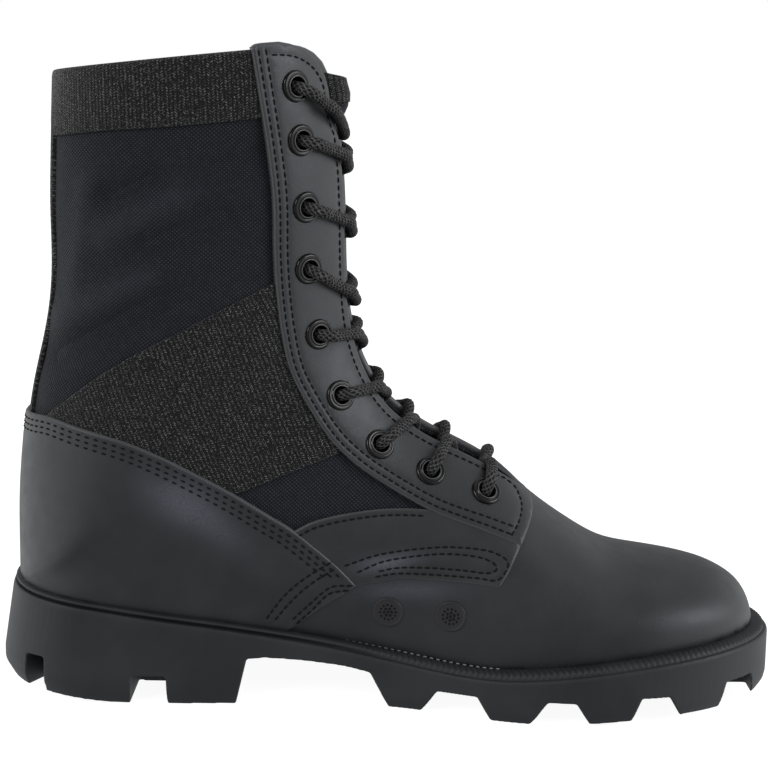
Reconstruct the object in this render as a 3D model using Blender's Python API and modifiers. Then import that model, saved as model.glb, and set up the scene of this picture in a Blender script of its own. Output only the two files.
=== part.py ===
"""Tactical boot, left foot: a canvas bootie under leather and webbing pieces, on a lugged rubber sole.

X runs to the toe, the inner side is -Y, Z is up and the floor is Z = 0. Sizes are millimetres.
The upper is a fan of sections. Each leaves the base line, which runs along the sole from the toe
and then up the back, and ends on the top line, which runs over the toe, the throat and the collar.
"""

import math

import bmesh
import bpy
import numpy as np

MM = 0.001

# Driving sizes
HEEL_X, TOE_X = -153.0, 153.0      # ends of the sole at its widest level
HEEL_CAP, TOE_CAP = -112.0, 72.0   # where the round ends of the outline begin
HEEL_POWER, TOE_POWER = 2.2, 1.95  # how full the round ends are
SKIN_TOE, SKIN_HEEL = 144.4, -143.2  # ends of the upper on the sole
WALL = 1.6                         # wall of the bootie
FIT = 0.3                          # gap between pieces that meet
FOOT_GAP = 0.5                     # the upper stands this far above the rim of the sole
LEATHER, WEBBING, VAMP = 2.0, 1.4, 1.6
INSOLE = 3.0
WELT_HIGH = 2.2
LACE_D = 4.4
EYELET_OUT, EYELET_HOLE, EYELET_HIGH = 11.0, 6.4, 1.7
VENT_OUT, VENT_HIGH = 12.0, 1.2
TONGUE_THICK = 2.2
SIDES = {"medial": -1, "lateral": 1}

# Plan of the sole at its widest level: along the foot, centre line, half width
PLAN = np.array([
    # x, centre, half
    (-160, 0.0, 38.0),
    (-110, 0.0, 38.0),
    (-60, 0.8, 36.8),
    (-20, 1.8, 36.0),
    (10, 1.8, 40.0),
    (45, 1.2, 50.2),
    (72, 0.0, 52.5),
    (100, -2.0, 52.5),
    (130, -3.6, 52.5),
    (160, -5.0, 52.5),
])

# Height of the rim of the sole and of its underside, along the foot
RIM = np.array([
    # x, z
    (-155, 41.4), (-125, 38.6), (-97, 34.3), (-66, 30.0), (-36, 25.2), (-10, 20.8), (15, 17.2),
    (38, 16.0), (60, 17.6), (80, 20.4), (100, 23.3), (116, 25.0), (132, 26.2), (155, 27.0),
])
UNDER = np.array([
    # x, z
    (-155, 5.0), (-130, 3.2), (-108, 0.6), (-96, 0.0), (-50, 0.0), (0, 0.0),
    (57, 0.0), (78, 1.2), (96, 2.6), (115, 3.6), (132, 4.1), (155, 4.6),
])

# The sole wall: how far each ring stands in from the plan at heel end, side and toe end,
# and its height as a share of the way from the underside to the rim
WALL_RINGS = np.array([
    # heel, side_rear, side_front, toe, share
    (5.0, 3.0, 0.9, 0.8, 1.00),
    (4.4, 2.5, 0.3, 0.2, 0.95),
    (0.4, 0.2, 0.0, 0.0, 0.24),
    (0.4, 0.3, 0.3, 0.5, 0.13),
    (4.6, 2.8, 2.4, 3.6, 0.00),
])
FEATHER = (9.8, 8.3, 8.9, 8.6)     # the same insets for the foot of the upper
WELT_OUT = (5.5, 3.2, 1.8, 1.7)    # and for the two edges of the welt
WELT_IN = (6.7, 4.3, 4.8, 4.5)
INSOLE_EDGE = (14.4, 11.4, 12.0, 13.2)

# Channels between the side lugs: x at the floor, x at the ceiling, height of the ceiling
CHANNELS = np.array([
    # floor_rear, floor_front, top_rear, top_front, ceiling
    (-97.6, -83.4, -97.2, -84.0, 11.2),
    (14.4, 40.6, 20.4, 35.2, 9.0),
    (55.4, 78.3, 61.6, 72.4, 9.2),
    (92.4, 114.2, 97.0, 107.6, 11.5),
    (127.2, 144.4, 131.2, 142.2, 14.0),
])
CHANNEL_IN = 13.0                  # half width of the spine that the channels leave
ARCH = np.array([
    # x, z of the hollow under the waist
    (-57.6, -2.0), (-53.0, 18.0), (-46.0, 18.6), (-30.0, 17.4), (-15.0, 15.6), (-5.5, 13.6), (3.0, -2.0),
])
HEEL_NOTCH = (-122.0, 5.0, 64.0, 16.0, 8.0, 17.0)  # x, y, bearing, start, width, ceiling

# The upper: run along the base line, top point, half widths, share of the chord where it is
# widest, and how square its shoulders are
SECTIONS = np.array([
    # run, top_x, top_z, medial, lateral, widest, shoulder
    (0.0, 144.4, 27.0, 0.0, 0.0, 0.30, 2.00),
    (0.9, 143.5, 34.2, 8.4, 8.4, 0.30, 2.00),
    (3.8, 140.7, 40.7, 15.2, 15.2, 0.30, 2.05),
    (8.8, 135.8, 45.1, 22.1, 22.1, 0.30, 2.10),
    (17.2, 127.4, 48.7, 29.5, 29.5, 0.30, 2.15),
    (29.5, 115.2, 51.0, 36.4, 36.4, 0.29, 2.20),
    (43.5, 101.2, 52.4, 41.5, 41.5, 0.28, 2.25),
    (58.0, 87.2, 55.2, 44.2, 44.2, 0.27, 2.20),
    (72.5, 73.5, 62.8, 45.0, 45.2, 0.26, 2.10),
    (88.0, 60.0, 72.3, 44.2, 45.0, 0.26, 2.02),
    (105.5, 46.6, 83.2, 41.2, 43.6, 0.27, 1.95),
    (126.5, 33.2, 92.6, 37.2, 40.4, 0.30, 1.90),
    (151.5, 19.6, 100.0, 34.2, 37.8, 0.35, 1.88),
    (180.5, 7.6, 107.4, 33.0, 36.2, 0.40, 1.90),
    (210.5, -1.6, 116.2, 33.2, 35.4, 0.42, 1.92),
    (238.5, -7.6, 125.8, 34.0, 35.0, 0.42, 1.95),
    (260.5, -11.0, 134.0, 34.4, 35.0, 0.43, 1.97),
    (275.0, -12.9, 140.2, 34.8, 35.2, 0.44, 1.98),
    (283.6, -14.1, 145.0, 35.1, 35.4, 0.44, 1.99),
    (287.6, -14.9, 149.0, 35.3, 35.5, 0.45, 2.00),
    (297.0, -15.8, 154.6, 35.5, 35.6, 0.45, 2.00),
    (315.0, -16.7, 162.6, 35.8, 35.8, 0.46, 2.02),
    (337.0, -17.4, 172.2, 36.2, 36.2, 0.46, 2.05),
    (361.0, -18.0, 182.8, 36.8, 36.8, 0.47, 2.08),
    (386.0, -18.8, 194.2, 37.8, 37.8, 0.47, 2.10),
    (412.0, -20.0, 206.6, 39.0, 39.0, 0.48, 2.12),
    (438.0, -21.6, 220.0, 40.2, 40.2, 0.48, 2.15),
    (463.0, -23.9, 234.4, 41.2, 41.2, 0.49, 2.18),
    (488.5, -26.6, 252.0, 42.0, 42.0, 0.49, 2.20),
])
HEEL_ROUND = 2.15                  # how full the back of a section is
HEEL_ROW = 19.0                    # section whose base is the heel's corner
HEEL_REACH = 3.6                   # sections to each side that round off like the sole's plan
BACK = np.array([
    # z, x of the back seam
    (40, -143.2), (56, -143.2), (76, -142.8), (95, -141.2), (110, -139.3), (124, -136.6), (138, -133.2),
    (152, -130.6), (168, -129.4), (188, -129.4), (207, -128.8), (225, -128.0), (245, -127.0),
])
# Half gap of the throat, measured over the surface from the top line
THROAT = np.array([
    # section, gap
    (9.6, 0.0), (10.0, 6.5), (10.6, 9.0), (12.0, 9.8), (16.0, 10.4), (23.0, 11.0),
    (25.8, 11.2), (26.4, 13.4), (26.9, 15.0), (27.3, 17.4), (27.58, 21.0), (27.8, 26.5), (27.93, 32.0),
    (28.0, 38.0),
])
THROAT_ROW = 9.6                   # first section that the throat opens
ROWS = [0, 1, 2, 3, 4, 5, 6, 7, 8, 9, 9.6, 10, 10.6, 12, 13, 14, 15, 16, 17, 18, 19, 20, 21.5, 23,
        24.5, 26, 27, 27.4, 27.65, 27.85, 28]
COLUMNS = 7

# Edges of the leather and webbing in the side view, from the back or the top to the front
COUNTER_TOP = [(-170, 111.5), (-128, 110.2), (-115, 107.8), (-99, 103.9), (-85.5, 98.6), (-72, 91.7),
               (-58, 84), (-44.5, 75.6), (-35, 69.5), (-20, 57.2), (-11, 48.3)]
COUNTER_FRONT = [(-11, 48.3), (-16, 45), (-25.7, 38.3), (-35, 30.7), (-42, 24)]
PATCH_TOP = [(-35, 69.5), (-28.3, 72.9), (-18, 75.4), (-4.6, 77), (5.7, 77.1), (15.2, 76.5)]
PATCH_FRONT = [(50.8, 63.4), (46.5, 55.1), (43.1, 49.7)]
PATCH_LOW = [(43.1, 49.7), (33, 50.6), (16.4, 51.3), (6, 51.4), (-4, 49.6), (-11, 48.3)]
STAY_REAR = [(-52.5, 262), (-49.7, 235.5), (-46.2, 213), (-44.2, 194.6), (-43.9, 175.8), (-43.2, 161.6),
             (-41.4, 145.7), (-38.4, 131.4), (-33.2, 119.9), (-25, 106.6), (-17.4, 97.8), (-5.6, 88.5),
             (15.2, 76.5), (37.4, 68.5), (50.8, 63.4)]
STAY_FRONT = [(50.8, 63.4), (53.4, 69), (55.4, 74.3), (55.4, 78), (53, 95)]
STRAP_TOP = [(-127, 112.5), (-113.6, 123.5), (-96.4, 135.2), (-77.4, 145.5), (-59, 155.3), (-43.4, 163.2)]
STRAP_LOW = [(-57.2, 83.5), (-37.2, 91.4), (-17.8, 98.4)]
BAND_LOW = [(-170, 209), (-126, 215), (-104.5, 218), (-76, 220.5), (-48, 223.6)]
BACK_STRAP = 12.5                  # half width of the webbing up the back seam
STAY_APART = 5.0                   # half gap between the eyestays in front of the throat

EYELETS = np.array([
    # section, distance from the top line over the surface
    (27.15, 33.0), (25.95, 32.4), (24.3, 31.4), (22.5, 30.6), (19.8, 27.5), (15.4, 25.7),
    (13.45, 25.4), (12.0, 24.0), (10.6, 22.3),
])
VENTS = [(11.9, 79.7), (10.85, 72.4)]  # section and distance over the inner side
BULGE = 2.6                        # how far the tongue swells between the eyestays
TONGUE_ROWS = [9.0, 10, 11, 12, 13, 14, 16, 18.5, 20.5, 22.5, 24.5, 26, 27.2]
TONGUE_HALF = 32.0                 # half width of the tongue over the surface
TONGUE_BEHIND = 2.1                # gap between the wall of the bootie and the tongue
LACE_LIFT = 5.4                    # height of the lace's middle above the bootie
LACE_OVER = 0.8                    # how much higher one strand crosses the other
LACE_END = 0.78                    # share of the way to the next row where a crossing stops


def spline(table):
    """A natural cubic through the rows of a table; the first column is the place along it."""
    xs, ys = table[:, 0].astype(float), table[:, 1:].astype(float)
    n, h = len(xs), np.diff(xs)
    a, b = np.eye(n), np.zeros_like(ys)
    for i in range(1, n - 1):
        a[i, i - 1:i + 2] = h[i - 1], 2 * (h[i - 1] + h[i]), h[i]
        b[i] = 6 * ((ys[i + 1] - ys[i]) / h[i] - (ys[i] - ys[i - 1]) / h[i - 1])
    m = np.linalg.solve(a, b)

    def at(x):
        x = min(max(float(x), xs[0]), xs[-1])
        i = min(max(int(np.searchsorted(xs, x)) - 1, 0), n - 2)
        p, q = (xs[i + 1] - x) / h[i], (x - xs[i]) / h[i]
        return p * ys[i] + q * ys[i + 1] + ((p ** 3 - p) * m[i] + (q ** 3 - q) * m[i + 1]) * h[i] ** 2 / 6

    return at


def straight(table):
    return lambda x: float(np.interp(x, table[:, 0], table[:, 1]))


PLAN[:, 1] -= 0.15                  # the plan lies even about the middle of the boot
plan_at, rim_spline, back_spline = spline(PLAN), spline(RIM), spline(BACK)
under_at = straight(UNDER)
section_at = spline(np.column_stack([np.arange(len(SECTIONS)), SECTIONS]))
throat_at = straight(THROAT)


def rim_at(x):
    return float(rim_spline(x)[0])


def round_end(x, end, start, power):
    t = min(max((x - start) / (end - start), 0.0), 1.0)
    return (1.0 - t ** power) ** (1.0 / power)


def half_at(x, insets):
    """Centre line and half width at x of the plan drawn in by insets at heel, side and toe."""
    heel, rear, front, toe = insets
    centre, half = plan_at(x)
    side = rear + (front - rear) * min(max((x + 110) / 110, 0.0), 1.0)
    half = (half - side) * round_end(x, HEEL_X + heel, HEEL_CAP, HEEL_POWER)
    return centre, half * round_end(x, TOE_X - toe, TOE_CAP, TOE_POWER)


def ring(insets, height, steps=26):
    """A closed outline: up the inner side from the heel, and back down the outer side."""
    heel, toe = HEEL_X + insets[0], TOE_X - insets[3]
    inner, outer = [], []
    for i in range(steps + 1):
        x = heel + (toe - heel) * (1 - math.cos(math.pi * i / steps)) / 2
        centre, half = half_at(x, insets)
        inner.append((x, centre - half, height(x)))
        outer.append((x, centre + half, height(x)))
    return inner + outer[-2:0:-1]


def base_point(run):
    """The base line: along the sole from the toe, then up the back seam."""
    length = SKIN_TOE - SKIN_HEEL
    if run <= length:
        x = SKIN_TOE - run
        return x, rim_at(x) + FOOT_GAP
    z = rim_at(SKIN_HEEL) + FOOT_GAP + run - length
    return float(back_spline(z)[0]), z


HEEL_FULL = half_at(HEEL_CAP, FEATHER)[1]


def heel_round(x, z):
    """The share of the full width at a place near the heel, as the plan of the sole rounds off there."""
    ahead = x - float(back_spline(max(z, rim_at(SKIN_HEEL) + FOOT_GAP))[0])
    return half_at(SKIN_HEEL + max(ahead, 0.0), FEATHER)[1] / HEEL_FULL


def section(row, side, count=240):
    """One half section of the bootie: points from the top line to the base line, and run lengths."""
    run, top_x, top_z, medial, lateral, widest, shoulder = section_at(row)
    base_x, base_z = base_point(run)
    wide = medial if side < 0 else lateral
    centre, foot = half_at(base_x, FEATHER) if run < SKIN_TOE - SKIN_HEEL else (0.0, 0.0)
    centre = plan_at(base_x)[0] * min(max((row - 20) / -12, 0.0), 1.0)
    if row <= 0:
        return np.tile((base_x, centre, base_z), (count - 1, 1)), np.linspace(0, 0.001, count - 1)
    wide = max(wide, foot + 0.05)
    fold = (1 - (foot / wide) ** HEEL_ROUND) ** (1 / HEEL_ROUND)
    turn = np.linspace(0, math.pi / 2, count // 2)
    part = np.linspace(0, 1, count // 2)[1:]
    share = np.concatenate([widest + (1 - widest) * np.cos(turn) ** (2 / shoulder), widest * (1 - part)])
    lower = wide * np.maximum(1 - (fold * part) ** HEEL_ROUND, 0) ** (1 / HEEL_ROUND)
    close = max(1 - abs(row - HEEL_ROW) / HEEL_REACH, 0.0)
    if close > 0:
        low = widest * (1 - part)
        blunt = [heel_round(base_x + (top_x - base_x) * k, base_z + (top_z - base_z) * k) for k in low]
        blunt = np.minimum(blunt, 1) * (wide + (HEEL_FULL - wide) * part ** 2)
        ease = np.minimum(part / 0.2, 1)
        lower += close ** 2 * (3 - 2 * close) * ease ** 2 * (3 - 2 * ease) * (blunt - lower)
    across = np.concatenate([wide * np.sin(turn) ** (2 / shoulder), lower])
    points = np.column_stack([base_x + (top_x - base_x) * share, centre + side * across,
                              base_z + (top_z - base_z) * share])
    steps = np.linalg.norm(np.diff(points, axis=0), axis=1)
    return points, np.concatenate([[0], np.cumsum(steps)])


def on_section(row, distance):
    """The point of a section at a distance over the surface from the top line; inner side negative."""
    points, runs = section(row, -1 if distance < 0 else 1)
    return np.array([np.interp(abs(distance), runs, points[:, k]) for k in range(3)])


def lifted(row, distance, height):
    """A point this far out from the bootie, with the outward direction there."""
    along = on_section(row + 0.05, distance) - on_section(row - 0.05, distance)
    across = on_section(row, distance + 0.5) - on_section(row, distance - 0.5)
    normal = np.cross(across, along)
    normal /= np.linalg.norm(normal)
    return on_section(row, distance) + normal * height, normal


def skin_grid(rows, gap):
    """Both halves of the bootie's outside as rows of points from the top line to the base line."""
    halves = {}
    for side in SIDES.values():
        grid = []
        for row in rows:
            points, runs = section(row, side)
            start = gap(row) if row >= THROAT_ROW else 0.0
            places = np.linspace(start, runs[-1], COLUMNS + 1)
            grid.append(np.column_stack([np.interp(places, runs, points[:, k]) for k in range(3)]))
        halves[side] = np.array(grid)
    return halves


def mesh_object(name, points, faces, collection):
    mesh = bpy.data.meshes.new(name)
    mesh.from_pydata([tuple(float(c) * MM for c in p) for p in points], [], faces)
    bm = bmesh.new()
    bm.from_mesh(mesh)
    bmesh.ops.remove_doubles(bm, verts=bm.verts[:], dist=0.02 * MM)
    bmesh.ops.dissolve_degenerate(bm, edges=bm.edges[:], dist=0.001 * MM)
    bmesh.ops.triangulate(bm, faces=bm.faces[:])
    bmesh.ops.recalc_face_normals(bm, faces=bm.faces[:])
    bm.to_mesh(mesh)
    bm.free()
    thing = bpy.data.objects.new(name, mesh)
    collection.objects.link(thing)
    return thing


def skin_object(name, rows, gap, collection):
    """The open surface of the bootie, facing out."""
    points, faces = [], []
    for side, grid in skin_grid(rows, gap).items():
        start, (r, c) = len(points), grid.shape[:2]
        points.extend(grid.reshape(-1, 3))
        for i in range(r - 1):
            for j in range(c - 1):
                a = start + i * c + j
                quad = (a, a + 1, a + c + 1, a + c)
                faces.append(quad if side > 0 else quad[::-1])
    thing = mesh_object(name, points, faces, collection)
    toe = 100 * MM
    top = max(thing.data.polygons,
              key=lambda f: f.center.z - 10 * abs(f.center.y) - 10 * abs(f.center.x - toe))
    if top.normal.z < 0:
        thing.data.flip_normals()
    return thing


def ladder(thing_rings):
    """Faces of a stack of closed rings, with both ends filled across."""
    points, faces = [], []
    n = len(thing_rings[0])
    for r in thing_rings:
        points.extend(r)
    for k in range(len(thing_rings) - 1):
        for i in range(n):
            j = (i + 1) % n
            faces.append((k * n + i, k * n + j, (k + 1) * n + j, (k + 1) * n + i))
    for start in (0, (len(thing_rings) - 1) * n):
        for i in range(n // 2):
            a, b = i, i + 1
            c, d = (n - b) % n, (n - a) % n
            face = [start + v for v in dict.fromkeys((a, b, c, d))]
            if len(face) > 2:
                faces.append(face)
    return points, faces


def prism(name, outline, y0, y1, collection):
    """A side-view outline drawn out across the boot."""
    n = len(outline)
    points = [(x, y, z) for y in (y0, y1) for x, z in outline]
    faces = [list(range(n)), list(range(2 * n - 1, n - 1, -1))]
    faces += [(i, (i + 1) % n, n + (i + 1) % n, n + i) for i in range(n)]
    return mesh_object(name, points, faces, collection)


def inset(outline, by):
    """The outline drawn in by a distance on every side."""
    pts = np.array(outline, float)
    area = np.sum(pts[:, 0] * np.roll(pts[:, 1], -1) - np.roll(pts[:, 0], -1) * pts[:, 1])
    if area < 0:
        pts = pts[::-1]
    out = []
    for i in range(len(pts)):
        a, b, c = pts[i - 1], pts[i], pts[(i + 1) % len(pts)]
        u, v = (b - a) / np.linalg.norm(b - a), (c - b) / np.linalg.norm(c - b)
        nu, nv = np.array((-u[1], u[0])), np.array((-v[1], v[0]))
        out.append(tuple(b + (nu + nv) * by / max(1 + nu @ nv, 0.4)))
    return out


def joined(*edges):
    """One outline from edges in turn, with shared ends written once."""
    out = []
    for edge in edges:
        for p in edge:
            if not out or math.dist(p, out[-1]) > 0.5:
                out.append(p)
    return out[:-1] if math.dist(out[0], out[-1]) < 0.5 else out


def boolean(thing, operation, cutter):
    step = thing.modifiers.new(operation.title(), "BOOLEAN")
    step.operation, step.solver, step.object = operation, "EXACT", cutter
    return step


def thicken(thing, start, thickness):
    """A shell that starts this far outside the surface and grows outwards; negative grows inwards."""
    if start:
        lift = thing.modifiers.new("Lift", "DISPLACE")
        lift.strength, lift.mid_level = start * MM, 0.0
    shell = thing.modifiers.new("Shell", "SOLIDIFY")
    shell.thickness, shell.offset = abs(thickness) * MM, 1.0 if thickness > 0 else -1.0
    shell.use_even_offset, shell.use_rim = False, True


def material(name, colour, roughness, metallic=0.0):
    made = bpy.data.materials.new(name)
    made.use_nodes = True
    shader = made.node_tree.nodes["Principled BSDF"]
    shader.inputs["Base Color"].default_value = (*colour, 1)
    shader.inputs["Roughness"].default_value = roughness
    shader.inputs["Metallic"].default_value = metallic
    return made


def finish(thing, look):
    thing.data.materials.clear()
    thing.data.materials.append(look)
    return thing


def build_outsole(parts, cutters):
    rings = []
    for heel, rear, front, toe, share in WALL_RINGS:
        def height(x, share=share):
            return under_at(x) + (rim_at(x) - under_at(x)) * share
        rings.append(ring((heel, rear, front, toe), height))
    sole = mesh_object("outsole", *ladder(rings), parts)
    boolean(sole, "DIFFERENCE", prism("cut_arch", [tuple(p) for p in ARCH], -90, 90, cutters))
    for k, (rear, front, top_rear, top_front, ceiling) in enumerate(CHANNELS):
        drop = 6.0 / ceiling
        outline = [(rear - (top_rear - rear) * drop, -6), (front + (front - top_front) * drop, -6),
                   (top_front, ceiling), (top_rear, ceiling)]
        for side in SIDES.values():
            inner, outer = sorted((side * CHANNEL_IN, side * 80))
            shift = -2.0 if k > 1 else 0.0
            channel = prism(f"cut_channel_{k}_{side}", outline, inner + shift, outer + shift, cutters)
            boolean(sole, "DIFFERENCE", channel)
    x, y, bearing, start, width, ceiling = HEEL_NOTCH
    for side in SIDES.values():
        out = [(start, -width * 0.55, -8), (start, width * 0.55, -8),
               (60, width * 0.7, -8), (60, -width * 0.7, -8),
               (start, -width * 0.5, ceiling - 2), (start, width * 0.5, ceiling - 2),
               (60, width * 0.6, ceiling + 5), (60, -width * 0.6, ceiling + 5)]
        turn = math.radians(180 - side * bearing)
        c, s = math.cos(turn), math.sin(turn)
        points = [(x + a * c - b * s, side * y + a * s + b * c, z) for a, b, z in out]
        faces = [(0, 1, 2, 3), (7, 6, 5, 4), (0, 4, 5, 1), (1, 5, 6, 2), (2, 6, 7, 3), (3, 7, 4, 0)]
        boolean(sole, "DIFFERENCE", mesh_object(f"cut_heel_{side}", points, faces, cutters))
    return sole


def build_welt(parts):
    low = [ring(insets, lambda x: rim_at(x) + FIT) for insets in (WELT_OUT, WELT_IN)]
    high = [ring(insets, lambda x: rim_at(x) + FIT + WELT_HIGH) for insets in (WELT_OUT, WELT_IN)]
    n, order = len(low[0]), (low[0], low[1], high[1], high[0])
    points = [p for r in order for p in r]
    faces = [(k * n + i, k * n + (i + 1) % n, (k + 1) % 4 * n + (i + 1) % n, (k + 1) % 4 * n + i)
             for k in range(4) for i in range(n)]
    return mesh_object("welt", points, faces, parts)


def build_insole(parts):
    rings = [ring(INSOLE_EDGE, lambda x, h=h: rim_at(x) + FIT + h, 20) for h in (INSOLE, 0.0)]
    return mesh_object("insole", *ladder(rings), parts)


def build_tongue(parts):
    """A curved sheet behind the throat that swells forward between the eyestays."""
    steps = np.linspace(-1, 1, 11)
    points = []
    for row in TONGUE_ROWS:
        gap = throat_at(row) - 1.5 if row > 10.5 else 0.0
        gap = min(gap, 10.5)
        for step in steps:
            distance = TONGUE_HALF * math.copysign(abs(step) ** 1.3, step)
            height = -(WALL + TONGUE_BEHIND)
            if abs(distance) < gap:
                height += (BULGE + WALL + TONGUE_BEHIND) * (1 - (distance / gap) ** 2)
            points.append(lifted(row, distance, height)[0])
    c = len(steps)
    faces = [(i * c + j, i * c + j + 1, (i + 1) * c + j + 1, (i + 1) * c + j)
             for i in range(len(TONGUE_ROWS) - 1) for j in range(c - 1)]
    tongue = mesh_object("tongue", points, faces, parts)
    if tongue.data.polygons[len(tongue.data.polygons) // 2].normal.x < 0:
        tongue.data.flip_normals()
    thicken(tongue, 0.0, -TONGUE_THICK)
    return tongue


def edge_between(edge, start, end):
    """The rows of an edge from one of its points to another."""
    i, j = edge.index(start), edge.index(end)
    return edge[i:j + 1] if i <= j else edge[j:i + 1][::-1]


def panel_outlines():
    """Side-view outlines of the overlays: name, outline, the sides that each covers and thickness."""
    sole = [(x, rim_at(x) + FOOT_GAP) for x in np.linspace(-156, 170, 40)]
    rear = [p for p in sole if p[0] < -42]
    front = [p for p in sole if p[0] > -42]
    counter = joined(COUNTER_TOP, COUNTER_FRONT[:-1], [(-42, rim_at(-42) + FOOT_GAP)], rear[::-1],
                     [(-170, rear[0][1])])
    vamp = joined([(-42, rim_at(-42) + FOOT_GAP)], COUNTER_FRONT[-2::-1], PATCH_LOW[::-1],
                  PATCH_FRONT[::-1], STAY_FRONT, [(170, 95)], front[::-1])
    patch = joined(PATCH_TOP, edge_between(STAY_REAR, (15.2, 76.5), (50.8, 63.4)), PATCH_FRONT,
                   PATCH_LOW, edge_between(COUNTER_TOP, (-11, 48.3), (-35, 69.5)))
    stay = joined(STAY_REAR, STAY_FRONT, [(30, 140), (20, 262)])
    strap = joined(STRAP_TOP, edge_between(STAY_REAR, (-41.4, 145.7), (-25, 106.6)), STRAP_LOW[::-1],
                   edge_between(COUNTER_TOP, (-72, 91.7), (-115, 107.8)))
    band = joined(BAND_LOW, STAY_REAR[1::-1], [(-170, 262)])
    back = joined(BAND_LOW[:2], [(-110, 217), (-110, 110)], [(-128, 110.2), (-170, 111.5)])
    both = {"medial": (-90, -STAY_APART), "lateral": (STAY_APART, 90)}
    panels = [("counter", counter, (-90, 90), LEATHER), ("vamp", vamp, (-90, 90), VAMP),
              ("collar_band", band, (-90, 90), WEBBING),
              ("back_strap", back, (-BACK_STRAP, BACK_STRAP), WEBBING)]
    for side, span in both.items():
        panels += [(f"patch_{side}", patch, span, LEATHER), (f"eyestay_{side}", stay, span, LEATHER),
                   (f"ankle_strap_{side}", strap, span, WEBBING)]
    return panels


def disc(name, row, distance, height, profile, count, collection):
    """A ring or a button turned about the bootie's normal: profile rows are radius and height."""
    centre, axis = lifted(row, distance, height)
    first = np.cross(axis, (0.0, 1.0, 0.0))
    first /= np.linalg.norm(first)
    second = np.cross(axis, first)
    points, n = [], len(profile)
    for i in range(count):
        a = 2 * math.pi * i / count
        for r, h in profile:
            points.append(centre + (first * math.cos(a) + second * math.sin(a)) * r + axis * h)
    faces = [(i * n + k, i * n + (k + 1) % n, (i + 1) % count * n + (k + 1) % n, (i + 1) % count * n + k)
             for i in range(count) for k in range(n)]
    return mesh_object(name, points, faces, collection)


def tube(name, path, collection, sides=5):
    """A closed round cord along a path of points and outward directions."""
    points, faces = [], []
    for i, (p, normal) in enumerate(path):
        ahead = path[min(i + 1, len(path) - 1)][0] - path[max(i - 1, 0)][0]
        ahead /= np.linalg.norm(ahead)
        other = np.cross(ahead, normal)
        other /= np.linalg.norm(other)
        up = np.cross(other, ahead)
        for k in range(sides):
            a = 2 * math.pi * k / sides
            points.append(p + (other * math.cos(a) + up * math.sin(a)) * LACE_D / 2)
    for i in range(len(path) - 1):
        for k in range(sides):
            a, b = i * sides + k, i * sides + (k + 1) % sides
            faces.append((a, b, b + sides, a + sides))
    last = (len(path) - 1) * sides
    faces += [list(range(sides))[::-1], [last + k for k in range(sides)]]
    return mesh_object(name, points, faces, collection)


def build_laces(parts, cutters):
    """A bar over the lowest eyelets and a crossing from each other pair down to the next."""
    made = []
    clear = EYELET_OUT / 2 + 1.2
    row, out = EYELETS[-1]
    path = [lifted(row, d, LACE_LIFT) for d in np.linspace(clear - out, out - clear, 7)]
    made.append(tube("lace_bar", path, parts))
    for k in range(len(EYELETS) - 1):
        (row, out), (low, _) = EYELETS[k], EYELETS[k + 1]
        strands = []
        for side in SIDES.values():
            start, end = out - clear, 2.5 - throat_at(low)
            total = out - end
            path = []
            for d in np.linspace(start, end, 5):
                share = (out - d) / total
                height = LACE_LIFT + (LACE_OVER if side > 0 else 0.0)
                path.append(lifted(row + (low - row) * LACE_END * share, side * d, height))
            strands.append(path)
        cross = tube(f"lace_cross_{k + 1}", strands[0], parts)
        boolean(cross, "UNION", tube(f"lace_other_{k + 1}", strands[1], cutters))
        made.append(cross)
    return made


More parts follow.
